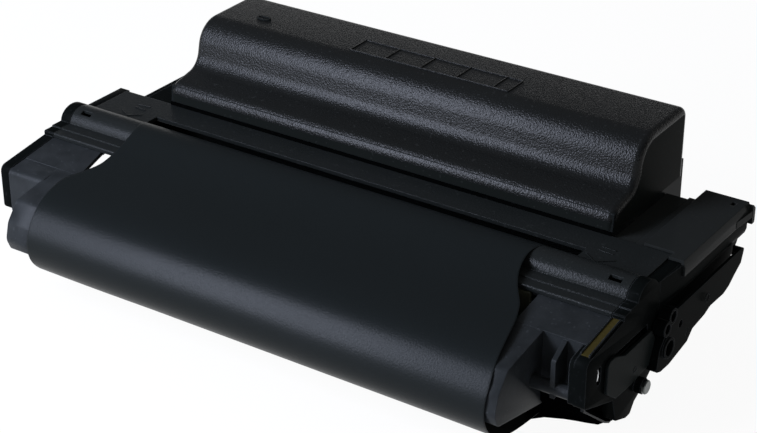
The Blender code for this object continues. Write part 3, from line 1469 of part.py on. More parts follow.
def build_developer(shop, phase):
    bore = SHAFT_RADIUS + GAP
    roller(shop, "developer_roller", DEVELOPER_LENGTH, DEVELOPER_RADIUS, bore, DEVELOPER, RUBBER, 0.5)
    shaft(shop, "developer_shaft", -HALF_HOPPER - 0.0020, GEAR_HIGH + 0.0012, DEVELOPER)
    add_gear(shop, "developer_gear", DEVELOPER_TEETH, phase, DEVELOPER, bore)
    for side, label in ((-1, "left"), (1, "right")):
        inner = DEVELOPER_LENGTH / 2 + 0.0008
        low, high = sorted((side * inner, side * HALF_HOPPER))
        name = "developer_bearing_" + label
        corners = [
            (TANK_MOUTH_BACK - 0.0010 - GAP, 0.0030 + GAP, 0.0),
            (TANK_MOUTH_BACK - 0.0010 - GAP, TANK_MOUTH_TOP - 0.0020, 0.0),
            (DEVELOPER[0], TANK_MOUTH_TOP - 0.0020, 0.0040),
            (TANK_LIP_Y + 0.0005, DEVELOPER[1], 0.0040),
            (TANK_LIP_Y + 0.0005, 0.0030 + GAP, 0.0),
        ]
        block = prism(name, rounded(corners), low, high)
        shop.cut(block, rod(name + "_bore", SHAFT_RADIUS + RUNNING_GAP, low - WALL, high + WALL, DEVELOPER))
        shop.keep(block, name, NATURAL, 0.5)


def bush(shop, name, side, centre):
    """Flanged bush in the tank's end wall, with its collar outside."""
    wall_in, wall_out = HALF_HOPPER - WALL, HALF_HOPPER
    outer = SHAFT_RADIUS + 0.0022 - GAP
    collar = outer + 0.0012
    profile = [
        (wall_out + GAP + 0.0016, SHAFT_RADIUS + RUNNING_GAP),
        (wall_out + GAP + 0.0016, collar),
        (wall_out + GAP, collar),
        (wall_out + GAP, outer),
        (wall_in - 0.0010, outer),
        (wall_in - 0.0010, SHAFT_RADIUS + RUNNING_GAP),
    ]
    if side < 0:
        profile = [(-x, radius) for x, radius in reversed(profile)]
    return shop.keep(turned(name, profile, centre, 24), name, CREAM, 0.4)


def build_supply(shop, phase):
    bore = SHAFT_RADIUS + GAP
    roller(shop, "supply_roller", SUPPLY_LENGTH, SUPPLY_RADIUS, bore, SUPPLY, FOAM, 0.95, 28)
    shaft(shop, "supply_shaft", -HALF_HOPPER - 0.0026, GEAR_HIGH + 0.0012, SUPPLY)
    add_gear(shop, "supply_gear", SUPPLY_TEETH, phase, SUPPLY, bore)
    bush(shop, "supply_bush_left", -1, SUPPLY)
    bush(shop, "supply_bush_right", 1, SUPPLY)


def build_agitator(shop, phase):
    """Shaft with arms that hang down to a cross bar, which carries a flexible wiper."""
    bore = SHAFT_RADIUS + GAP
    spine = rod("agitator", SHAFT_RADIUS, -HALF_HOPPER - 0.0026, GEAR_HIGH + 0.0012, AGITATOR)
    drop = AGITATOR_REACH * 0.6
    bar_half = SUPPLY_LENGTH / 2 - 0.0060
    half = 0.0014
    y, z = AGITATOR
    bar = box("agitator_bar", (-bar_half, y - half, z - drop - half), (bar_half, y + half, z - drop + half))
    shop.join(spine, bar)
    for number in range(ARM_COUNT):
        x = bar_half * (2 * number / (ARM_COUNT - 1) - 1) * 0.92
        arm = box(
            "agitator_arm_%d" % number,
            (x - half, y - half * 0.8, z - drop),
            (x + half, y + half * 0.8, z - SHAFT_RADIUS * 0.5),
        )
        shop.join(spine, arm)
    shop.keep(spine, "agitator", NATURAL, 0.5)
    near, far = half + GAP, half + GAP + 0.0004
    blade = [(near, -drop + half), (far, -drop + half), (far, -AGITATOR_REACH), (near, -AGITATOR_REACH)]
    wiper = prism("agitator_wiper", blade, -bar_half - 0.0020, bar_half + 0.0020, centre=AGITATOR)
    shop.keep(wiper, "agitator_wiper", (0.35, 0.36, 0.36), 0.3)
    add_gear(shop, "agitator_gear", AGITATOR_TEETH, phase, AGITATOR, bore)
    bush(shop, "agitator_bush_left", -1, AGITATOR)
    bush(shop, "agitator_bush_right", 1, AGITATOR)


def build_gear_train(shop):
    drum_phase = 0.0
    developer_phase = meshed_phase(DRUM_TEETH, drum_phase, DRUM, DEVELOPER_TEETH, DEVELOPER)
    first_phase = meshed_phase(DEVELOPER_TEETH, developer_phase, DEVELOPER, IDLER_TEETH, IDLER_1)
    supply_phase = meshed_phase(IDLER_TEETH, first_phase, IDLER_1, SUPPLY_TEETH, SUPPLY)
    second_phase = meshed_phase(IDLER_TEETH, first_phase, IDLER_1, STEP_TEETH, IDLER_2)
    third_phase = meshed_phase(STEP_TEETH, second_phase, IDLER_2, STEP_TEETH, IDLER_3)
    agitator_phase = meshed_phase(STEP_TEETH, third_phase, IDLER_3, AGITATOR_TEETH, AGITATOR)
    build_drum(shop, drum_phase)
    build_charge_roller(shop)
    build_developer(shop, developer_phase)
    build_supply(shop, supply_phase)
    build_agitator(shop, agitator_phase)
    bore = PIN_RADIUS + RUNNING_GAP
    add_gear(shop, "idler_gear_1", IDLER_TEETH, first_phase, IDLER_1, bore)
    add_gear(shop, "idler_gear_2", STEP_TEETH, second_phase, IDLER_2, bore)
    add_gear(shop, "idler_gear_3", STEP_TEETH, third_phase, IDLER_3, bore)


def build_screws(shop):
    """The screws that hold the gear housing and the left cover to the tank's bosses."""
    right = GEAR_HOUSING_INNER + WALL + GAP
    left = LEFT_HOUSING_OUTER + GAP + WALL + GAP
    for side, label, face in ((1, "right", right), (-1, "left", left)):
        for number, place in enumerate(TANK_BOSSES, 1):
            profile = [
                (face + SCREW_HEAD_HEIGHT, 0.0),
                (face + SCREW_HEAD_HEIGHT, SCREW_HEAD - 0.0004),
                (face, SCREW_HEAD),
                (face, SCREW_RADIUS),
                (face - SCREW_LENGTH, SCREW_RADIUS),
                (face - SCREW_LENGTH, 0.0),
            ]
            if side < 0:
                profile = [(-x, radius) for x, radius in reversed(profile)]
            name = "housing_screw_%s_%d" % (label, number)
            shop.keep(turned(name, profile, place, 12), name, STEEL, 0.3, 1.0)


def main():
    clear_scene()
    shop = Shop()
    build_tank(shop)
    build_hopper_cover(shop)
    build_gear_housing(shop)
    build_left_housing(shop)
    build_fill_cap(shop)
    build_top_cover(shop)
    build_drum_frame(shop)
    build_waste_box(shop)
    build_left_end(shop)
    build_right_end(shop)
    build_lid(shop)
    build_gear_cover(shop)
    build_drum_cover(shop)
    build_pivot_pin(shop)
    build_contact(shop)
    build_foam_strip(shop)
    build_sheet(shop)
    build_blades(shop)
    build_gear_train(shop)
    build_screws(shop)


main()
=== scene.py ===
import math

import bmesh
import bpy
from mathutils import Matrix, Vector


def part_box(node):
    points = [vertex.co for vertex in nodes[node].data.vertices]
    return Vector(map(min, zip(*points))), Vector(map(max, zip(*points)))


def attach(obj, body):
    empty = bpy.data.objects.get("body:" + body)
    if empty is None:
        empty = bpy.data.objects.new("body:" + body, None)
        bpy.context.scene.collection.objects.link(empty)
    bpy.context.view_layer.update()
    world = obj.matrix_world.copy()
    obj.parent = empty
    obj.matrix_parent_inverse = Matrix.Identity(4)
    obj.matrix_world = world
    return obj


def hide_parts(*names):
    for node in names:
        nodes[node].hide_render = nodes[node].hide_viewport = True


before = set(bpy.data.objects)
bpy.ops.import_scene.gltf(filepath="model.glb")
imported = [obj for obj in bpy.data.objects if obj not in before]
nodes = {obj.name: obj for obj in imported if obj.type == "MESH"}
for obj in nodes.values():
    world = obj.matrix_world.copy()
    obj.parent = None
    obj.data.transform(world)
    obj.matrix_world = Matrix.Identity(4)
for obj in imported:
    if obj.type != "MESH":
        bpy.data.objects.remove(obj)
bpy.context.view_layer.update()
print("frame loaded,", len(nodes), "pieces")


# Rounded shading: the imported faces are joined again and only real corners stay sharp
shading = {
    "join": 0.000002, "plain": 32.0, "soft": 48.0,
    "softPieces": ("drum_sheet", "hopper_cover", "opc_drum", "charge_roller", "developer_roller",
                   "supply_roller"),
}


def roundedShading(cornerAngle):
    group = bpy.data.node_groups.new("roundedShading", "GeometryNodeTree")
    group.interface.new_socket("Geometry", in_out="INPUT", socket_type="NodeSocketGeometry")
    group.interface.new_socket("Geometry", in_out="OUTPUT", socket_type="NodeSocketGeometry")
    entry, leave = group.nodes.new("NodeGroupInput"), group.nodes.new("NodeGroupOutput")
    joined = group.nodes.new("GeometryNodeMergeByDistance")
    joined.inputs["Distance"].default_value = shading["join"]
    smoothFaces = group.nodes.new("GeometryNodeSetShadeSmooth")
    angle = group.nodes.new("GeometryNodeInputMeshEdgeAngle")
    shallow = group.nodes.new("FunctionNodeCompare")
    shallow.operation = "LESS_THAN"
    shallow.inputs[1].default_value = math.radians(cornerAngle)
    smoothEdges = group.nodes.new("GeometryNodeSetShadeSmooth")
    smoothEdges.domain = "EDGE"
    group.links.new(entry.outputs[0], joined.inputs["Geometry"])
    group.links.new(joined.outputs["Geometry"], smoothFaces.inputs["Geometry"])
    group.links.new(smoothFaces.outputs["Geometry"], smoothEdges.inputs["Geometry"])
    group.links.new(angle.outputs["Unsigned Angle"], shallow.inputs[0])
    group.links.new(shallow.outputs["Result"], smoothEdges.inputs["Shade Smooth"])
    group.links.new(smoothEdges.outputs["Geometry"], leave.inputs[0])
    return group


rounding = {kind: roundedShading(shading[kind]) for kind in ("plain", "soft")}
for name, node in nodes.items():
    kept = node.data.attributes.get("custom_normal")
    if kept:
        node.data.attributes.remove(kept)
    kind = "soft" if name in shading["softPieces"] else "plain"
    node.modifiers.new("rounded", "NODES").node_group = rounding[kind]
print("shading rounded")


# A socket that does sums: maths on it adds the nodes
class Wire:
    def __init__(self, tree, socket=None):
        self.tree = tree
        self.socket = socket

    def node(self, kind, settings=None, inputs=None, out=0):
        made = self.tree.nodes.new(kind)
        for key, value in (settings or {}).items():
            if key == "stops":
                fillRamp(made.color_ramp, value)
            else:
                setattr(made, key, value)
        for key, value in (inputs or {}).items():
            if isinstance(value, Wire):
                self.tree.links.new(value.socket, made.inputs[key])
            else:
                made.inputs[key].default_value = value
        return Wire(self.tree, made.outputs[out])

    def sum(self, operation, first, second):
        return self.node("ShaderNodeMath", {"operation": operation}, {0: first, 1: second})

    def __add__(self, other):
        return self.sum("ADD", self, other)

    def __radd__(self, other):
        return self.sum("ADD", other, self)

    def __sub__(self, other):
        return self.sum("SUBTRACT", self, other)

    def __rsub__(self, other):
        return self.sum("SUBTRACT", other, self)

    def __mul__(self, other):
        return self.sum("MULTIPLY", self, other)

    def __rmul__(self, other):
        return self.sum("MULTIPLY", other, self)

    def feed(self, target):
        self.tree.links.new(self.socket, target)


def fillRamp(ramp, stops):
    while len(ramp.elements) < len(stops):
        ramp.elements.new(0.5)
    for element, (place, colour) in zip(ramp.elements, stops):
        element.position = place
        element.color = (*colour, 1.0) if len(colour) == 3 else colour


def newMaterial(name):
    material = bpy.data.materials.new(name)
    material.use_nodes = True
    shader = material.node_tree.nodes["Principled BSDF"]
    return material, shader, Wire(material.node_tree)


def setShader(shader, values):
    for key, value in values.items():
        shader.inputs[key].default_value = value


def rgba(colour):
    return (*colour, 1.0)


# Moulded plastic: grain, uneven gloss, paler edges that are partly worn and partly painted glints, and a
# little dust
def mouldedPlastic(name, look):
    material, shader, wire = newMaterial(name)
    place = wire.node("ShaderNodeTexCoord", out="Object")
    cloud = wire.node(
        "ShaderNodeTexNoise", {},
        {"Vector": place, "Scale": 1 / look["cloudSize"], "Detail": look["cloudDetail"]},
    )
    grain = wire.node(
        "ShaderNodeTexNoise", {},
        {"Vector": place, "Scale": 1 / look["grainSize"], "Detail": look["grainDetail"],
         "Roughness": look["grainBlend"]},
    )
    speck = wire.node(
        "ShaderNodeTexNoise", {}, {"Vector": place, "Scale": 1 / look["speckSize"], "Detail": 0.0}
    )
    start = look["speckStart"]
    dust = wire.node(
        "ShaderNodeValToRGB", {"stops": [(start, (0, 0, 0)), (start + look["speckWidth"], (1, 1, 1))]},
        {"Fac": speck},
    )
    soft = wire.node("ShaderNodeBevel", {"samples": look["edgeSamples"]}, {"Radius": look["edgeRadius"]})
    flat = wire.node("ShaderNodeNewGeometry", out="Normal")
    match = wire.node("ShaderNodeVectorMath", {"operation": "DOT_PRODUCT"}, {0: soft, 1: flat}, out="Value")
    # Bevel edge mask: lightens edges towards the pale edge colour; worn edges on most pieces, painted glints
    # where the edge gain is high
    edge = (1 - match) * look["edgeGain"]
    wearAndGlintAmount = edge + cloud * look["cloudGain"] + dust * look["speckGain"]
    worn = wire.node("ShaderNodeClamp", {}, {"Value": wearAndGlintAmount})
    colour = wire.node(
        "ShaderNodeMix", {"data_type": "RGBA"},
        {"Factor": worn, "A": rgba(look["colour"]), "B": rgba(look["worn"])}, out=2,
    )
    colour.feed(shader.inputs["Base Color"])
    rough = look["roughness"] + (cloud - 0.5) * look["roughnessSpread"] + (grain - 0.5) * look["grainRough"]
    rough.feed(shader.inputs["Roughness"])
    bump = wire.node(
        "ShaderNodeBump", {},
        {"Height": grain, "Distance": look["grainDepth"], "Strength": look["grainStrength"], "Normal": soft},
    )
    bump.feed(shader.inputs["Normal"])
    setShader(shader, {"Specular IOR Level": look["specular"], "IOR": look["refraction"]})
    return material


plasticLook = {
    "colour": (0.0075, 0.0088, 0.0086), "worn": (0.060, 0.064, 0.062), "roughness": 0.42,
    "roughnessSpread": 0.16, "grainRough": 0.10, "specular": 0.26, "refraction": 1.5, "cloudSize": 0.055,
    "cloudDetail": 3.0, "cloudGain": 0.05, "grainSize": 0.00055, "grainDetail": 2.0, "grainBlend": 0.55,
    "grainDepth": 0.00004, "grainStrength": 0.5, "speckSize": 0.0016, "speckStart": 0.74, "speckWidth": 0.05,
    "speckGain": 0.10, "edgeRadius": 0.00045, "edgeSamples": 4, "edgeGain": 0.35,
}


def look(**changes):
    return {**plasticLook, **changes}


# Plain finishes for metal, rubber, foam and pale plastic
plainLook = {"grainDetail": 3.0, "cloudScale": 40.0, "cloudDetail": 2.0, "grainShare": 0.6, "bump": 0.5}


def plainFinish(name, settings):
    material, shader, wire = newMaterial(name)
    place = wire.node("ShaderNodeTexCoord", out="Object")
    stretch = wire.node("ShaderNodeVectorMath", {"operation": "MULTIPLY"}, {0: place, 1: settings["stretch"]})
    grain = wire.node(
        "ShaderNodeTexNoise", {},
        {"Vector": stretch, "Scale": 1 / settings["grainSize"], "Detail": plainLook["grainDetail"]},
    )
    cloud = wire.node(
        "ShaderNodeTexNoise", {},
        {"Vector": place, "Scale": plainLook["cloudScale"], "Detail": plainLook["cloudDetail"]},
    )
    share = grain * plainLook["grainShare"] + cloud * (1 - plainLook["grainShare"])
    colour = wire.node(
        "ShaderNodeMix", {"data_type": "RGBA"},
        {"Factor": share, "A": rgba(settings["dark"]), "B": rgba(settings["light"])}, out=2,
    )
    colour.feed(shader.inputs["Base Color"])
    (settings["roughness"] + (grain - 0.5) * settings["spread"]).feed(shader.inputs["Roughness"])
    bump = wire.node(
        "ShaderNodeBump", {},
        {"Height": grain, "Distance": settings["depth"], "Strength": plainLook["bump"]},
    )
    bump.feed(shader.inputs["Normal"])
    setShader(shader, {"Metallic": settings["metallic"], "Specular IOR Level": settings["specular"]})
    return material


def dress(material, *names):
    for name in names:
        for place in nodes[name].material_slots:
            place.material = material


hopperGrain = mouldedPlastic("hopperGrain", look(
    colour=(0.0032, 0.0036, 0.0035), roughness=0.31, roughnessSpread=0.05, grainSize=0.00082,
    grainDetail=1.0, grainDepth=0.00023, grainStrength=1.0, grainRough=0.26, specular=0.13,
    edgeRadius=0.0006, edgeGain=0.05,
))
# Shaded copy of the hopper plastic, darker and almost without gloss, for the two ends and the lowest front
# band: painted shade
hopperShadedCopy = mouldedPlastic("hopperShadedCopy", look(
    colour=(0.0050, 0.0060, 0.0054), roughness=0.40, grainSize=0.00060, grainDepth=0.00003, specular=0.006,
))
tankPlastic = mouldedPlastic("tankPlastic", look(
    colour=(0.0050, 0.0060, 0.0060), roughness=0.30, grainDepth=0.00002, specular=0.018, edgeRadius=0.0012,
))
deckPlastic = mouldedPlastic("deckPlastic", look(
    colour=(0.0078, 0.0090, 0.0088), roughness=0.30, grainSize=0.00090, grainDepth=0.00014, grainDetail=1.5,
    grainStrength=0.9, specular=0.070, edgeGain=0.30,
))
armPlastic = mouldedPlastic("armPlastic", look(
    colour=(0.0060, 0.0072, 0.0076), worn=(0.095, 0.102, 0.108), roughness=0.38, cloudSize=0.010,
    cloudGain=0.20, specular=0.062, edgeGain=0.25, grainDepth=0.00008, grainSize=0.00080,
))
# End plates and the small right-end pieces: near-black with almost no gloss, painted shade for the shaded end
# sides; the pale edge colour paints glints on their edges
endPlastic = mouldedPlastic("endPlastic", look(
    colour=(0.0018, 0.0023, 0.0021), worn=(0.150, 0.160, 0.165), roughness=0.34, specular=0.003,
    edgeGain=0.7, edgeRadius=0.0008, cloudGain=0.01, speckGain=0.02,
))
# Drum cover: dark with almost no gloss; the pale edge colour paints glints on its edges
coverPlastic = mouldedPlastic("coverPlastic", look(
    colour=(0.0050, 0.0066, 0.0060), worn=(0.150, 0.160, 0.165), roughness=0.30, specular=0.006,
    edgeGain=0.7, edgeRadius=0.0007, cloudGain=0.02, speckGain=0.04,
))
# Near-black plastic without gloss: painted shade for shaded gaps and undersides
paintedShadePlastic = mouldedPlastic("paintedShadePlastic", look(
    colour=(0.0006, 0.0007, 0.0007), worn=(0.010, 0.010, 0.010), specular=0.0, edgeGain=0.0,
))
lidPlastic = mouldedPlastic("lidPlastic", look(
    colour=(0.0115, 0.0125, 0.0118), roughness=0.17, roughnessSpread=0.05, grainRough=0.04,
    grainDepth=0.00001, specular=0.016, edgeGain=0.3,
))
sheetFilm = mouldedPlastic("sheetFilm", look(
    colour=(0.0048, 0.0064, 0.0064), worn=(0.022, 0.024, 0.030), roughness=0.37, roughnessSpread=0.05,
    grainSize=0.00085, grainDepth=0.00015, grainRough=0.16, specular=0.086, cloudSize=0.09, cloudGain=0.06,
    speckStart=0.80, speckGain=0.05, edgeRadius=0.0012, edgeGain=0.0,
))
steel = plainFinish("brightSteel", {
    "dark": (0.42, 0.43, 0.44), "light": (0.66, 0.67, 0.68), "roughness": 0.28, "spread": 0.18,
    "metallic": 1.0, "specular": 0.5, "grainSize": 0.0006, "stretch": (0.1, 1.0, 1.0), "depth": 0.00001,
})
darkSteel = plainFinish("darkSteel", {
    "dark": (0.05, 0.056, 0.056), "light": (0.15, 0.158, 0.155), "roughness": 0.32, "spread": 0.2,
    "metallic": 1.0, "specular": 0.5, "grainSize": 0.0008, "stretch": (1.0, 1.0, 1.0), "depth": 0.00002,
})
zincSteel = plainFinish("zincSteel", {
    "dark": (0.30, 0.31, 0.20), "light": (0.46, 0.46, 0.32), "roughness": 0.38, "spread": 0.16,
    "metallic": 0.9, "specular": 0.5, "grainSize": 0.0020, "stretch": (0.6, 1.0, 1.0), "depth": 0.00001,
})
paleGear = plainFinish("paleGear", {
    "dark": (0.52, 0.51, 0.47), "light": (0.64, 0.63, 0.59), "roughness": 0.42, "spread": 0.12,
    "metallic": 0.0, "specular": 0.4, "grainSize": 0.0012, "stretch": (1.0, 1.0, 1.0), "depth": 0.00002,
})
creamBush = plainFinish("creamBush", {
    "dark": (0.52, 0.47, 0.34), "light": (0.66, 0.61, 0.47), "roughness": 0.40, "spread": 0.10,
    "metallic": 0.0, "specular": 0.4, "grainSize": 0.0010, "stretch": (1.0, 1.0, 1.0), "depth": 0.00002,
})
drumCoat = plainFinish("drumCoat", {
    "dark": (0.018, 0.070, 0.058), "light": (0.026, 0.092, 0.076), "roughness": 0.16, "spread": 0.05,
    "metallic": 0.0, "specular": 0.5, "grainSize": 0.0100, "stretch": (0.2, 1.0, 1.0), "depth": 0.000002,
})
blackRubber = plainFinish("blackRubber", {
    "dark": (0.010, 0.010, 0.011), "light": (0.018, 0.018, 0.019), "roughness": 0.62, "spread": 0.12,
    "metallic": 0.0, "specular": 0.3, "grainSize": 0.0005, "stretch": (1.0, 1.0, 1.0), "depth": 0.00002,
})
greyFoam = plainFinish("greyFoam", {
    "dark": (0.16, 0.16, 0.155), "light": (0.36, 0.36, 0.35), "roughness": 0.95, "spread": 0.05,
    "metallic": 0.0, "specular": 0.2, "grainSize": 0.0006, "stretch": (1.0, 1.0, 1.0), "depth": 0.00020,
})
clearWiper = plainFinish("clearWiper", {
    "dark": (0.30, 0.31, 0.31), "light": (0.40, 0.41, 0.41), "roughness": 0.25, "spread": 0.06,
    "metallic": 0.0, "specular": 0.5, "grainSize": 0.0100, "stretch": (1.0, 1.0, 1.0), "depth": 0.000005,
})
yellowFoam = plainFinish("yellowFoam", {
    "dark": (0.016, 0.012, 0.002), "light": (0.046, 0.036, 0.010), "roughness": 0.85, "spread": 0.1,
    "metallic": 0.0, "specular": 0.04, "grainSize": 0.0012, "stretch": (1.0, 1.0, 1.0), "depth": 0.00010,
})
print("finishes made")

dress(hopperGrain, "hopper_cover")
dress(tankPlastic, "toner_tank", "waste_box")
dress(deckPlastic, "top_cover")
dress(armPlastic, "drum_frame")
dress(lidPlastic, "right_rear_lid", "gear_housing")
dress(endPlastic, "left_end_plate", "right_end_plate", "gear_cover", "left_housing", "left_housing_cover")
dress(coverPlastic, "drum_cover")
dress(sheetFilm, "drum_sheet")
dress(darkSteel, "pivot_pin")
dress(steel, "drum_pin_left", "drum_pin_right", "charge_shaft", "developer_shaft", "supply_shaft",
      "contact_spring", "charge_spring_left", "charge_spring_right", "doctor_blade", "doctor_holder")
for side in ("left", "right"):
    dress(steel, *["housing_screw_%s_%d" % (side, number) for number in (1, 2, 3)])
dress(zincSteel, "cleaning_holder")
dress(paleGear, "drum_flange", "drum_gear", "developer_gear", "supply_gear", "agitator_gear", "idler_gear_1",
      "idler_gear_2", "idler_gear_3", "fill_cap", "charge_bearing_left", "charge_bearing_right",
      "developer_bearing_left", "developer_bearing_right", "agitator")
dress(creamBush, "supply_bush_left", "supply_bush_right", "agitator_bush_left", "agitator_bush_right",
      "cleaning_blade")
dress(drumCoat, "opc_drum")
dress(blackRubber, "charge_roller", "developer_roller")
dress(greyFoam, "supply_roller")
dress(clearWiper, "agitator_wiper")
dress(yellowFoam, "edge_strip")
print("pieces dressed")


# Outlines with round corners, and the small solids built from them
def arcPoints(before, corner, after, radius, steps):
    toBefore, toAfter = (before - corner).normalized(), (after - corner).normalized()
    half = toBefore.angle(toAfter) / 2
    start = corner + toBefore * radius / math.tan(half)
    end = corner + toAfter * radius / math.tan(half)
    middle = corner + (toBefore + toAfter).normalized() * radius / math.sin(half)
    first, last = start - middle, end - middle
    sweep = first.angle_signed(last)
    turns = [Matrix.Rotation(-sweep * step / steps, 2) for step in range(steps + 1)]
    return [middle + turned @ first for turned in turns]


def roundedLine(corners):
    line = [Vector(corners[0][:2])]
    for before, corner, after in zip(corners, corners[1:], corners[2:]):
        line += arcPoints(Vector(before[:2]), Vector(corner[:2]), Vector(after[:2]), corner[2], corner[3])
    return line + [Vector(corners[-1][:2])]


def lineNormals(line):
    normals = []
    for index, point in enumerate(line):
        along = line[min(index + 1, len(line) - 1)] - line[max(index - 1, 0)]
        normals.append(Vector((-along.y, along.x)).normalized())
    return normals


def meshPiece(name, material, body="cartridge_frame"):
    mesh = bpy.data.meshes.new(name)
    piece = bpy.data.objects.new(name, mesh)
    bpy.context.scene.collection.objects.link(piece)
    mesh.materials.append(material)
    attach(piece, body)
    return piece


# The finished mesh goes into its piece
def fillPiece(piece, work):
    work.to_mesh(piece.data)
    work.free()


# Closed block between two outlines of the same number of points
def blockBetween(work, first, second):
    near = [work.verts.new(place) for place in first]
    far = [work.verts.new(place) for place in second]
    work.faces.new(near[::-1])
    work.faces.new(far)
    for index in range(len(near)):
        after = (index + 1) % len(near)
        work.faces.new((near[index], near[after], far[after], far[index]))
    bmesh.ops.recalc_face_normals(work, faces=work.faces)


# Straight bar that lies flat between two levels
def bar(work, start, end, width, low, high):
    along = (Vector(end) - Vector(start)).normalized()
    across = Vector((-along.y, along.x)) * width / 2
    corners = [Vector(start) - across, Vector(end) - across, Vector(end) + across, Vector(start) + across]
    blockBetween(work, [(c.x, c.y, low) for c in corners], [(c.x, c.y, high) for c in corners])


# Oval rim between two levels; the function that is passed puts each point in place
def rim(work, size, band, levels, steps, placed):
    low, high = levels
    turns = [2 * math.pi * step / steps for step in range(steps)]
    rings = []
    for level, inset in ((low, 0.0), (high, 0.0), (high, band), (low, band)):
        across, deep = size[0] / 2 - inset, size[1] / 2 - inset
        rings.append([work.verts.new(placed(across * math.cos(t), deep * math.sin(t), level)) for t in turns])
    for ring, follow in zip(rings, rings[1:] + rings[:1]):
        for index in range(steps):
            after = (index + 1) % steps
            work.faces.new((ring[index], ring[after], follow[after], follow[index]))
    bmesh.ops.recalc_face_normals(work, faces=work.faces)


# Hopper shell: one broad curve from the lip to the rear wall, with soft ends
hopper = {
    "halfLength": 0.1273, "endRadius": 0.0034, "endSteps": 8, "wall": 0.0006,
    "outline": [(0.0252, 0.0620), (0.0254, 0.0712, 0.0064, 12), (0.0455, 0.0755, 0.0090, 10),
                (0.0503, 0.0973, 0.0150, 18), (0.0958, 0.0978, 0.0050, 8), (0.0958, 0.0620)],
}


def hopperRings():
    line = roundedLine(hopper["outline"])
    normals = lineNormals(line)
    steps, radius = hopper["endSteps"], hopper["endRadius"]
    turns = [math.pi / 2 * step / steps for step in range(steps, -1, -1)]
    ends = [(hopper["halfLength"] - radius + radius * math.sin(t), radius * (1 - math.cos(t))) for t in turns]
    stations = [(-x, inset) for x, inset in ends] + [(x, inset) for x, inset in reversed(ends)]
    floorLevel = hopper["outline"][0][1]
    for x, inset in stations:
        moved = [point - normal * inset for point, normal in zip(line, normals)]
        moved[0].y = moved[-1].y = floorLevel
        yield [(x, point.x, point.y) for point in moved]


hopperShell = meshPiece("hopper_shell", hopperGrain)
work = bmesh.new()
rings = [[work.verts.new(place) for place in ring] for ring in hopperRings()]
# Material 1, the shaded copy, goes on the lowest front band and the two end caps: painted shade
for ring, follow in zip(rings, rings[1:]):
    for band, corners in enumerate(zip(ring, ring[1:], follow[1:], follow)):
        work.faces.new(corners).material_index = 1 if band == 0 else 0
for ring in (rings[0], rings[-1]):
    work.faces.new(ring).material_index = 1
bmesh.ops.recalc_face_normals(work, faces=work.faces)
for face in work.faces:
    face.smooth = True
fillPiece(hopperShell, work)
hopperShell.data.materials.append(hopperShadedCopy)
thicken = hopperShell.modifiers.new("wall", "SOLIDIFY")
thicken.thickness = hopper["wall"]
thicken.offset = -1.0
hopperShell.modifiers.new("rounded", "NODES").node_group = rounding["soft"]
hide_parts("hopper_cover")
print("hopper shell made")


# Protective sheet: one thin film that runs in a soft curve from the slot, over the guards and under the drum
sheet = {
    "path": [(0.0015, 0.0562), (0.0014, 0.0592), (0.0, 0.0608), (-0.0024, 0.0625), (-0.0057, 0.0644),
             (-0.0098, 0.0652), (-0.0139, 0.0645), (-0.0200, 0.0625), (-0.0269, 0.0602), (-0.0357, 0.0577),
             (-0.0460, 0.0556), (-0.0560, 0.0538), (-0.0660, 0.0520), (-0.0740, 0.0501), (-0.0800, 0.0476),
             (-0.0845, 0.0437), (-0.0878, 0.0389), (-0.0896, 0.0340), (-0.0901, 0.0292), (-0.0893, 0.0245),
             (-0.0868, 0.0196), (-0.0823, 0.0152), (-0.0771, 0.0117), (-0.0720, 0.0096), (-0.0640, 0.0078),
             (-0.0575, 0.0069), (-0.0500, 0.0061), (-0.0415, 0.0053)],
    "leftEdge": [(0.0010, -0.1209), (-0.0100, -0.1178), (-0.0200, -0.1157), (-0.0310, -0.1148),
                 (-0.0430, -0.1149), (-0.0507, -0.1188), (-0.0600, -0.1246), (-0.0700, -0.1241),
                 (-0.0840, -0.1222)],
    "rightEdge": [(0.0010, 0.1114), (-0.0070, 0.1090), (-0.0160, 0.1073), (-0.0230, 0.1082),
                  (-0.0300, 0.1107), (-0.0385, 0.1161), (-0.0435, 0.1204), (-0.0540, 0.1243),
                  (-0.0675, 0.1273), (-0.0860, 0.1312)],
    "columns": 40, "step": 0.0012, "pathRounds": 26, "edgeRounds": 10, "thickness": 0.00022, "lift": 0.00035,
    "waveHeight": 0.00022, "waveAcross": (41.0, 0.021), "waveAlong": (9.0, 0.055),
}


# Value at a place between knots that run from the highest place to the lowest
def softBetween(knots, value):
    if value >= knots[0][0]:
        return knots[0][1]
    for (high, first), (low, second) in zip(knots, knots[1:]):
        if value >= low:
            share = (high - value) / (high - low)
            return first + (second - first) * share
    return knots[-1][1]


def evenSteps(points, step):
    line = [points[0]]
    for start, end in zip(points, points[1:]):
        count = max(1, round((end - start).length / step))
        line += [start.lerp(end, (index + 1) / count) for index in range(count)]
    return line


def relaxed(line, rounds):
    for _ in range(rounds):
        line = [line[0]] + [(a + b * 2 + c) / 4 for a, b, c in zip(line, line[1:], line[2:])] + [line[-1]]
    return line


def sheetRows():
    line = relaxed(evenSteps([Vector(place) for place in sheet["path"]], sheet["step"]), sheet["pathRounds"])
    normals = lineNormals(line)
    line = [point - normal * sheet["lift"] for point, normal in zip(line, normals)]
    edges, furthest = [], line[0].x
    for point in line:
        furthest = min(furthest, point.x)
        edges.append(Vector([softBetween(sheet[side], furthest) for side in ("leftEdge", "rightEdge")]))
    edges = relaxed(edges, sheet["edgeRounds"])
    across, along = sheet["waveAcross"], sheet["waveAlong"]
    for index, (point, normal, edge) in enumerate(zip(line, normals, edges)):
        row = []
        for column in range(sheet["columns"] + 1):
            x = edge.x + (edge.y - edge.x) * column / sheet["columns"]
            swell = math.sin(x * across[0] + index * across[1]) * math.sin(x * along[0] + index * along[1])
            place = point - normal * max(0.0, swell) * sheet["waveHeight"]
            row.append((x, place.x, place.y))
        yield row


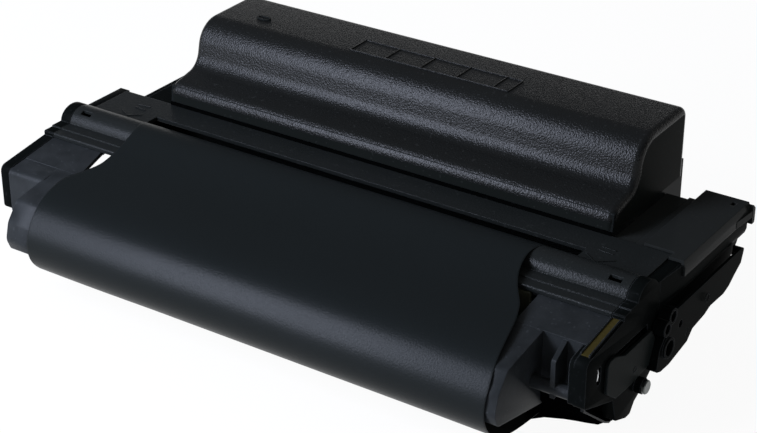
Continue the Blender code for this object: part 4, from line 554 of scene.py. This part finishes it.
drumSheet = meshPiece("drum_sheet_film", sheetFilm)
work = bmesh.new()
rows = [[work.verts.new(place) for place in row] for row in sheetRows()]
for row, follow in zip(rows, rows[1:]):
    for a, b, c, d in zip(row, row[1:], follow[1:], follow):
        work.faces.new((a, d, c, b)).smooth = True
fillPiece(drumSheet, work)
thicken = drumSheet.modifiers.new("film", "SOLIDIFY")
thicken.thickness = sheet["thickness"]
thicken.offset = 0.0
drumSheet.modifiers.new("rounded", "NODES").node_group = rounding["soft"]
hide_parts("drum_sheet")
print("protective sheet made")


# Raised strokes on the deck: two short bars and an arrow head at each end
strokes = {
    "width": 0.00055, "level": 0.0600, "rise": 0.00035,
    "right": [[(0.1283, 0.0139), (0.1354, 0.0137)], [(0.1282, 0.0105), (0.1356, 0.0100)],
              [(0.1251, 0.0046), (0.1319, -0.0001)], [(0.1319, -0.0001), (0.1393, 0.0058)]],
    "left": [[(-0.1402, 0.0155), (-0.1330, 0.0162)], [(-0.1396, 0.0122), (-0.1332, 0.0118)],
             [(-0.1429, 0.0057), (-0.1366, 0.0022)], [(-0.1366, 0.0022), (-0.1306, 0.0068)]],
}
for side in ("right", "left"):
    piece = meshPiece("deck_marks_" + side, deckPlastic)
    work = bmesh.new()
    for start, end in strokes[side]:
        bar(work, start, end, strokes["width"], strokes["level"], strokes["level"] + strokes["rise"])
    fillPiece(piece, work)
print("deck marks made")

# Row of bare framed fields on the hopper's top
fields = {
    "edges": (-0.0408, -0.0203, 0.0002, 0.0207, 0.0412, 0.0498), "front": 0.0622, "rear": 0.0765,
    "width": 0.0005, "bottom": 0.09708, "top": 0.09798,
}
piece = meshPiece("hopper_fields", hopperGrain)
work = bmesh.new()
for x in fields["edges"]:
    bar(work, (x, fields["front"]), (x, fields["rear"]), fields["width"], fields["bottom"], fields["top"])
for y in (fields["front"], fields["rear"]):
    ends = [(x, y) for x in (fields["edges"][0], fields["edges"][-1])]
    bar(work, *ends, fields["width"], fields["bottom"], fields["top"])
fillPiece(piece, work)

# Near-black sheet over the right foot's front, partly the dark foot and partly painted shade: its lower edge
# on the table and its upper edge under the arm
footShade = {
    "lower": [(0.1250, -0.0466, 0.0004), (0.1272, -0.0436, 0.0004), (0.1317, -0.0388, 0.0004),
              (0.1405, -0.0332, 0.0004), (0.1454, -0.0316, 0.0004), (0.1499, -0.0304, 0.0004),
              (0.1548, -0.0286, 0.0004), (0.1590, -0.0244, 0.0004)],
    "middle": [(0.1250, -0.0468, 0.0014), (0.1272, -0.0440, 0.0016), (0.1317, -0.0402, 0.0022),
               (0.1405, -0.0374, 0.0020), (0.1454, -0.0358, 0.0020), (0.1499, -0.0346, 0.0020),
               (0.1548, -0.0330, 0.0020), (0.1590, -0.0285, 0.0026)],
    "upper": [(0.1250, -0.0470, 0.0030), (0.1272, -0.0460, 0.0060), (0.1317, -0.0512, 0.0180),
              (0.1405, -0.0518, 0.0182), (0.1454, -0.0518, 0.0182), (0.1499, -0.0518, 0.0182),
              (0.1548, -0.0518, 0.0182), (0.1590, -0.0490, 0.0190)],
    "top": [(0.1250, -0.0470, 0.0034), (0.1272, -0.0462, 0.0066), (0.1317, -0.0514, 0.0200),
            (0.1405, -0.0520, 0.0262), (0.1454, -0.0520, 0.0262), (0.1499, -0.0520, 0.0262),
            (0.1548, -0.0520, 0.0262), (0.1590, -0.0492, 0.0262)],
    "thickness": 0.0006,
}
piece = meshPiece("foot_shade_sheet", paintedShadePlastic)
work = bmesh.new()
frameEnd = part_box("drum_frame")[1].x + footShade["thickness"]
bands = [
    [work.verts.new((min(x, frameEnd), y, z)) for x, y, z in footShade[key]]
    for key in ("lower", "middle", "upper", "top")
]
for band, follow in zip(bands, bands[1:]):
    for a, b, c, d in zip(band, band[1:], follow[1:], follow):
        work.faces.new((a, b, c, d))
fillPiece(piece, work)
thicken = piece.modifiers.new("wall", "SOLIDIFY")
thicken.thickness = footShade["thickness"]

# Painted shade: a near-black strip in the shaded gap where the hopper's front wall meets the top cover
seamShade = {"halfLength": 0.1268, "front": 0.02475, "back": 0.0256, "bottom": 0.0598, "top": 0.0616}
piece = meshPiece("hopper_seam_shade", paintedShadePlastic)
work = bmesh.new()
outline = [(seamShade["front"], seamShade["bottom"]), (seamShade["back"], seamShade["bottom"]), (seamShade["back"], seamShade["top"]),
           (seamShade["front"], seamShade["top"])]
blockBetween(work, *[[(x, y, z) for y, z in outline] for x in (-seamShade["halfLength"], seamShade["halfLength"])])
fillPiece(piece, work)

# Raised border beside the pale strip on the right arm
low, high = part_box("edge_strip")
border = {"width": 0.0007, "rise": 0.0005, "depth": 0.0010, "frontLift": 0.0006}
piece = meshPiece("strip_border", endPlastic)
work = bmesh.new()
for x in (low.x - border["width"], high.x):
    outline = [(low.y, low.z - border["depth"] + border["frontLift"]), (high.y, high.z - border["depth"]),
               (high.y, high.z + border["rise"]), (low.y, low.z + border["rise"] + border["frontLift"])]
    blockBetween(work, [(x, y, z) for y, z in outline], [(x + border["width"], y, z) for y, z in outline])
fillPiece(piece, work)

# Bright contact clip in the mouth of the right arm's slot
clip = {
    "path": [(0.1618, -0.0512, 0.0362), (0.1624, -0.0519, 0.0374), (0.1627, -0.0520, 0.0392),
             (0.1624, -0.0515, 0.0408), (0.1618, -0.0508, 0.0418)],
    "radius": 0.00038, "roundness": 3,
}
line = bpy.data.curves.new("contact_clip", "CURVE")
line.dimensions = "3D"
line.bevel_depth = clip["radius"]
line.bevel_resolution = clip["roundness"]
line.use_fill_caps = True
strand = line.splines.new("POLY")
strand.points.add(len(clip["path"]) - 1)
for point, place in zip(strand.points, clip["path"]):
    point.co = (*place, 1.0)
line.materials.append(steel)
piece = bpy.data.objects.new("contact_clip", line)
bpy.context.scene.collection.objects.link(piece)
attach(piece, "cartridge_frame")

# Shallow round marks on the two covers at the right end
marks = {
    "gear_cover": {"middle": (0.0392, 0.0352), "size": (0.0042, 0.0042)},
    "drum_cover": {"middle": (-0.0212, 0.0275), "size": (0.0030, 0.0030)},
}
markRim = {"band": 0.00035, "rise": 0.00012, "depth": 0.0004, "steps": 32}
for name, mark in marks.items():
    piece = meshPiece(name + "_mark", endPlastic)
    work = bmesh.new()
    face, (y, z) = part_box(name)[1].x, mark["middle"]
    levels = (face - markRim["depth"], face + markRim["rise"])
    rim(work, mark["size"], markRim["band"], levels, markRim["steps"], lambda u, v, x: (x, y + u, z + v))
    fillPiece(piece, work)
print("right end details made")

# Rim of the oval plug on the hopper's top
plug = {
    "middle": (-0.1010, 0.0712), "size": (0.0085, 0.0046), "band": 0.0009, "levels": (0.0970, 0.0981),
    "steps": 40,
}
piece = meshPiece("hopper_plug_rim", tankPlastic)
work = bmesh.new()
x, y = plug["middle"]
rim(work, plug["size"], plug["band"], plug["levels"], plug["steps"], lambda u, v, z: (x + u, y + v, z))
fillPiece(piece, work)
print("hopper top details made")

# Camera, lamps, floor and surroundings
view = {
    "place": (0.46523, -0.66025, 0.46813), "azimuth": 34.10, "elevation": 27.74, "focal": 91.62,
    "sensor": 36.0, "nearest": 0.01,
}
camera = bpy.data.objects.new("camera", bpy.data.cameras.new("camera"))
bpy.context.scene.collection.objects.link(camera)
camera.data.lens = view["focal"]
camera.data.sensor_width = view["sensor"]
camera.location = view["place"]
turn, lift = math.radians(view["azimuth"]), math.radians(view["elevation"])
back = Vector((math.sin(turn) * math.cos(lift), -math.cos(turn) * math.cos(lift), math.sin(lift)))
camera.rotation_mode = "QUATERNION"
camera.rotation_quaternion = (-back).to_track_quat("-Z", "Y")
camera.data.clip_start = view["nearest"]
bpy.context.scene.camera = camera

lamps = {
    "softbox": {"towards": (-0.50, -0.72, 0.47), "along": (0.0, -0.58, -0.81), "distance": 1.25,
                "size": (1.05, 0.44), "power": 35.0, "colour": (0.76, 0.82, 1.0)},
    "rearRight": {"towards": (0.60, 0.55, 0.58), "along": (0.7, -0.7, 0.0), "distance": 1.40,
                  "size": (0.40, 0.40), "power": 0.5, "colour": (1.0, 0.99, 0.97)},
}
aim = Vector((0.0, 0.0, 0.05))
for name, lamp in lamps.items():
    light = bpy.data.lights.new(name, "AREA")
    light.shape = "RECTANGLE"
    light.size, light.size_y = lamp["size"]
    light.energy = lamp["power"]
    light.color = lamp["colour"]
    holder = bpy.data.objects.new(name, light)
    bpy.context.scene.collection.objects.link(holder)
    towards = Vector(lamp["towards"]).normalized()
    along = Vector(lamp["along"])
    along = (along - towards * along.dot(towards)).normalized()
    holder.matrix_world = Matrix.Translation(aim + towards * lamp["distance"]) @ Matrix(
        (along, towards.cross(along), towards)
    ).transposed().to_4x4()

ground = {
    "halfSize": 6.0, "drop": 0.0002, "colour": (0.92, 0.92, 0.92), "roughness": 0.9, "specular": 0.1,
    "glow": 0.94,
}
floorMesh = bpy.data.meshes.new("floor")
work = bmesh.new()
bmesh.ops.create_grid(work, x_segments=1, y_segments=1, size=ground["halfSize"])
work.to_mesh(floorMesh)
work.free()
floor = bpy.data.objects.new("floor", floorMesh)
floor.location = (0.0, 0.0, -ground["drop"])
bpy.context.scene.collection.objects.link(floor)
floorMaterial, floorShader, floorWire = newMaterial("paleFloor")
setShader(floorShader, {
    "Base Color": rgba(ground["colour"]), "Roughness": ground["roughness"],
    "Specular IOR Level": ground["specular"],
})


# 1 where the camera, a reflection or a clear piece looks at the surroundings
def seenStraight(wire):
    seen, glossy, clear = [
        wire.node("ShaderNodeLightPath", out=kind)
        for kind in ("Is Camera Ray", "Is Glossy Ray", "Is Transmission Ray")
    ]
    return wire.sum("MAXIMUM", seen, wire.sum("MAXIMUM", glossy, clear))


glow = floorWire.node("ShaderNodeEmission", {}, {"Color": (1.0, 1.0, 1.0, 1.0), "Strength": 1.0})
body = Wire(floorMaterial.node_tree, floorShader.outputs[0])
glowShare = seenStraight(floorWire) * ground["glow"]
mixed = floorWire.node("ShaderNodeMixShader", {}, {0: glowShare, 1: body, 2: glow})
mixed.feed(floorMaterial.node_tree.nodes["Material Output"].inputs["Surface"])
floorMesh.materials.append(floorMaterial)

world = bpy.data.worlds.new("studio")
bpy.context.scene.world = world
world.use_nodes = True
worldWire = Wire(world.node_tree)
direction = worldWire.node("ShaderNodeTexCoord", out="Generated")
height = worldWire.node("ShaderNodeSeparateXYZ", {}, {"Vector": direction}, out="Z")
surroundings = {
    "dome": (0.30, 0.30, 0.31),
    "wall": [(0.0, (1.0, 1.0, 1.0)), (0.10, (1.0, 1.0, 1.0)), (0.26, (0.12, 0.12, 0.125)),
             (0.55, (0.12, 0.12, 0.125)), (0.80, (0.32, 0.33, 0.35))],
}
wall = worldWire.node("ShaderNodeValToRGB", {"stops": surroundings["wall"]}, {"Fac": height})
shade = worldWire.node(
    "ShaderNodeMix", {"data_type": "RGBA"},
    {"Factor": seenStraight(worldWire), "A": rgba(surroundings["dome"]), "B": wall}, out=2,
)
backdrop = world.node_tree.nodes["Background"]
shade.feed(backdrop.inputs["Color"])
backdrop.inputs["Strength"].default_value = 1.0

bpy.context.scene.view_settings.view_transform = "Standard"
print("camera and lights set")
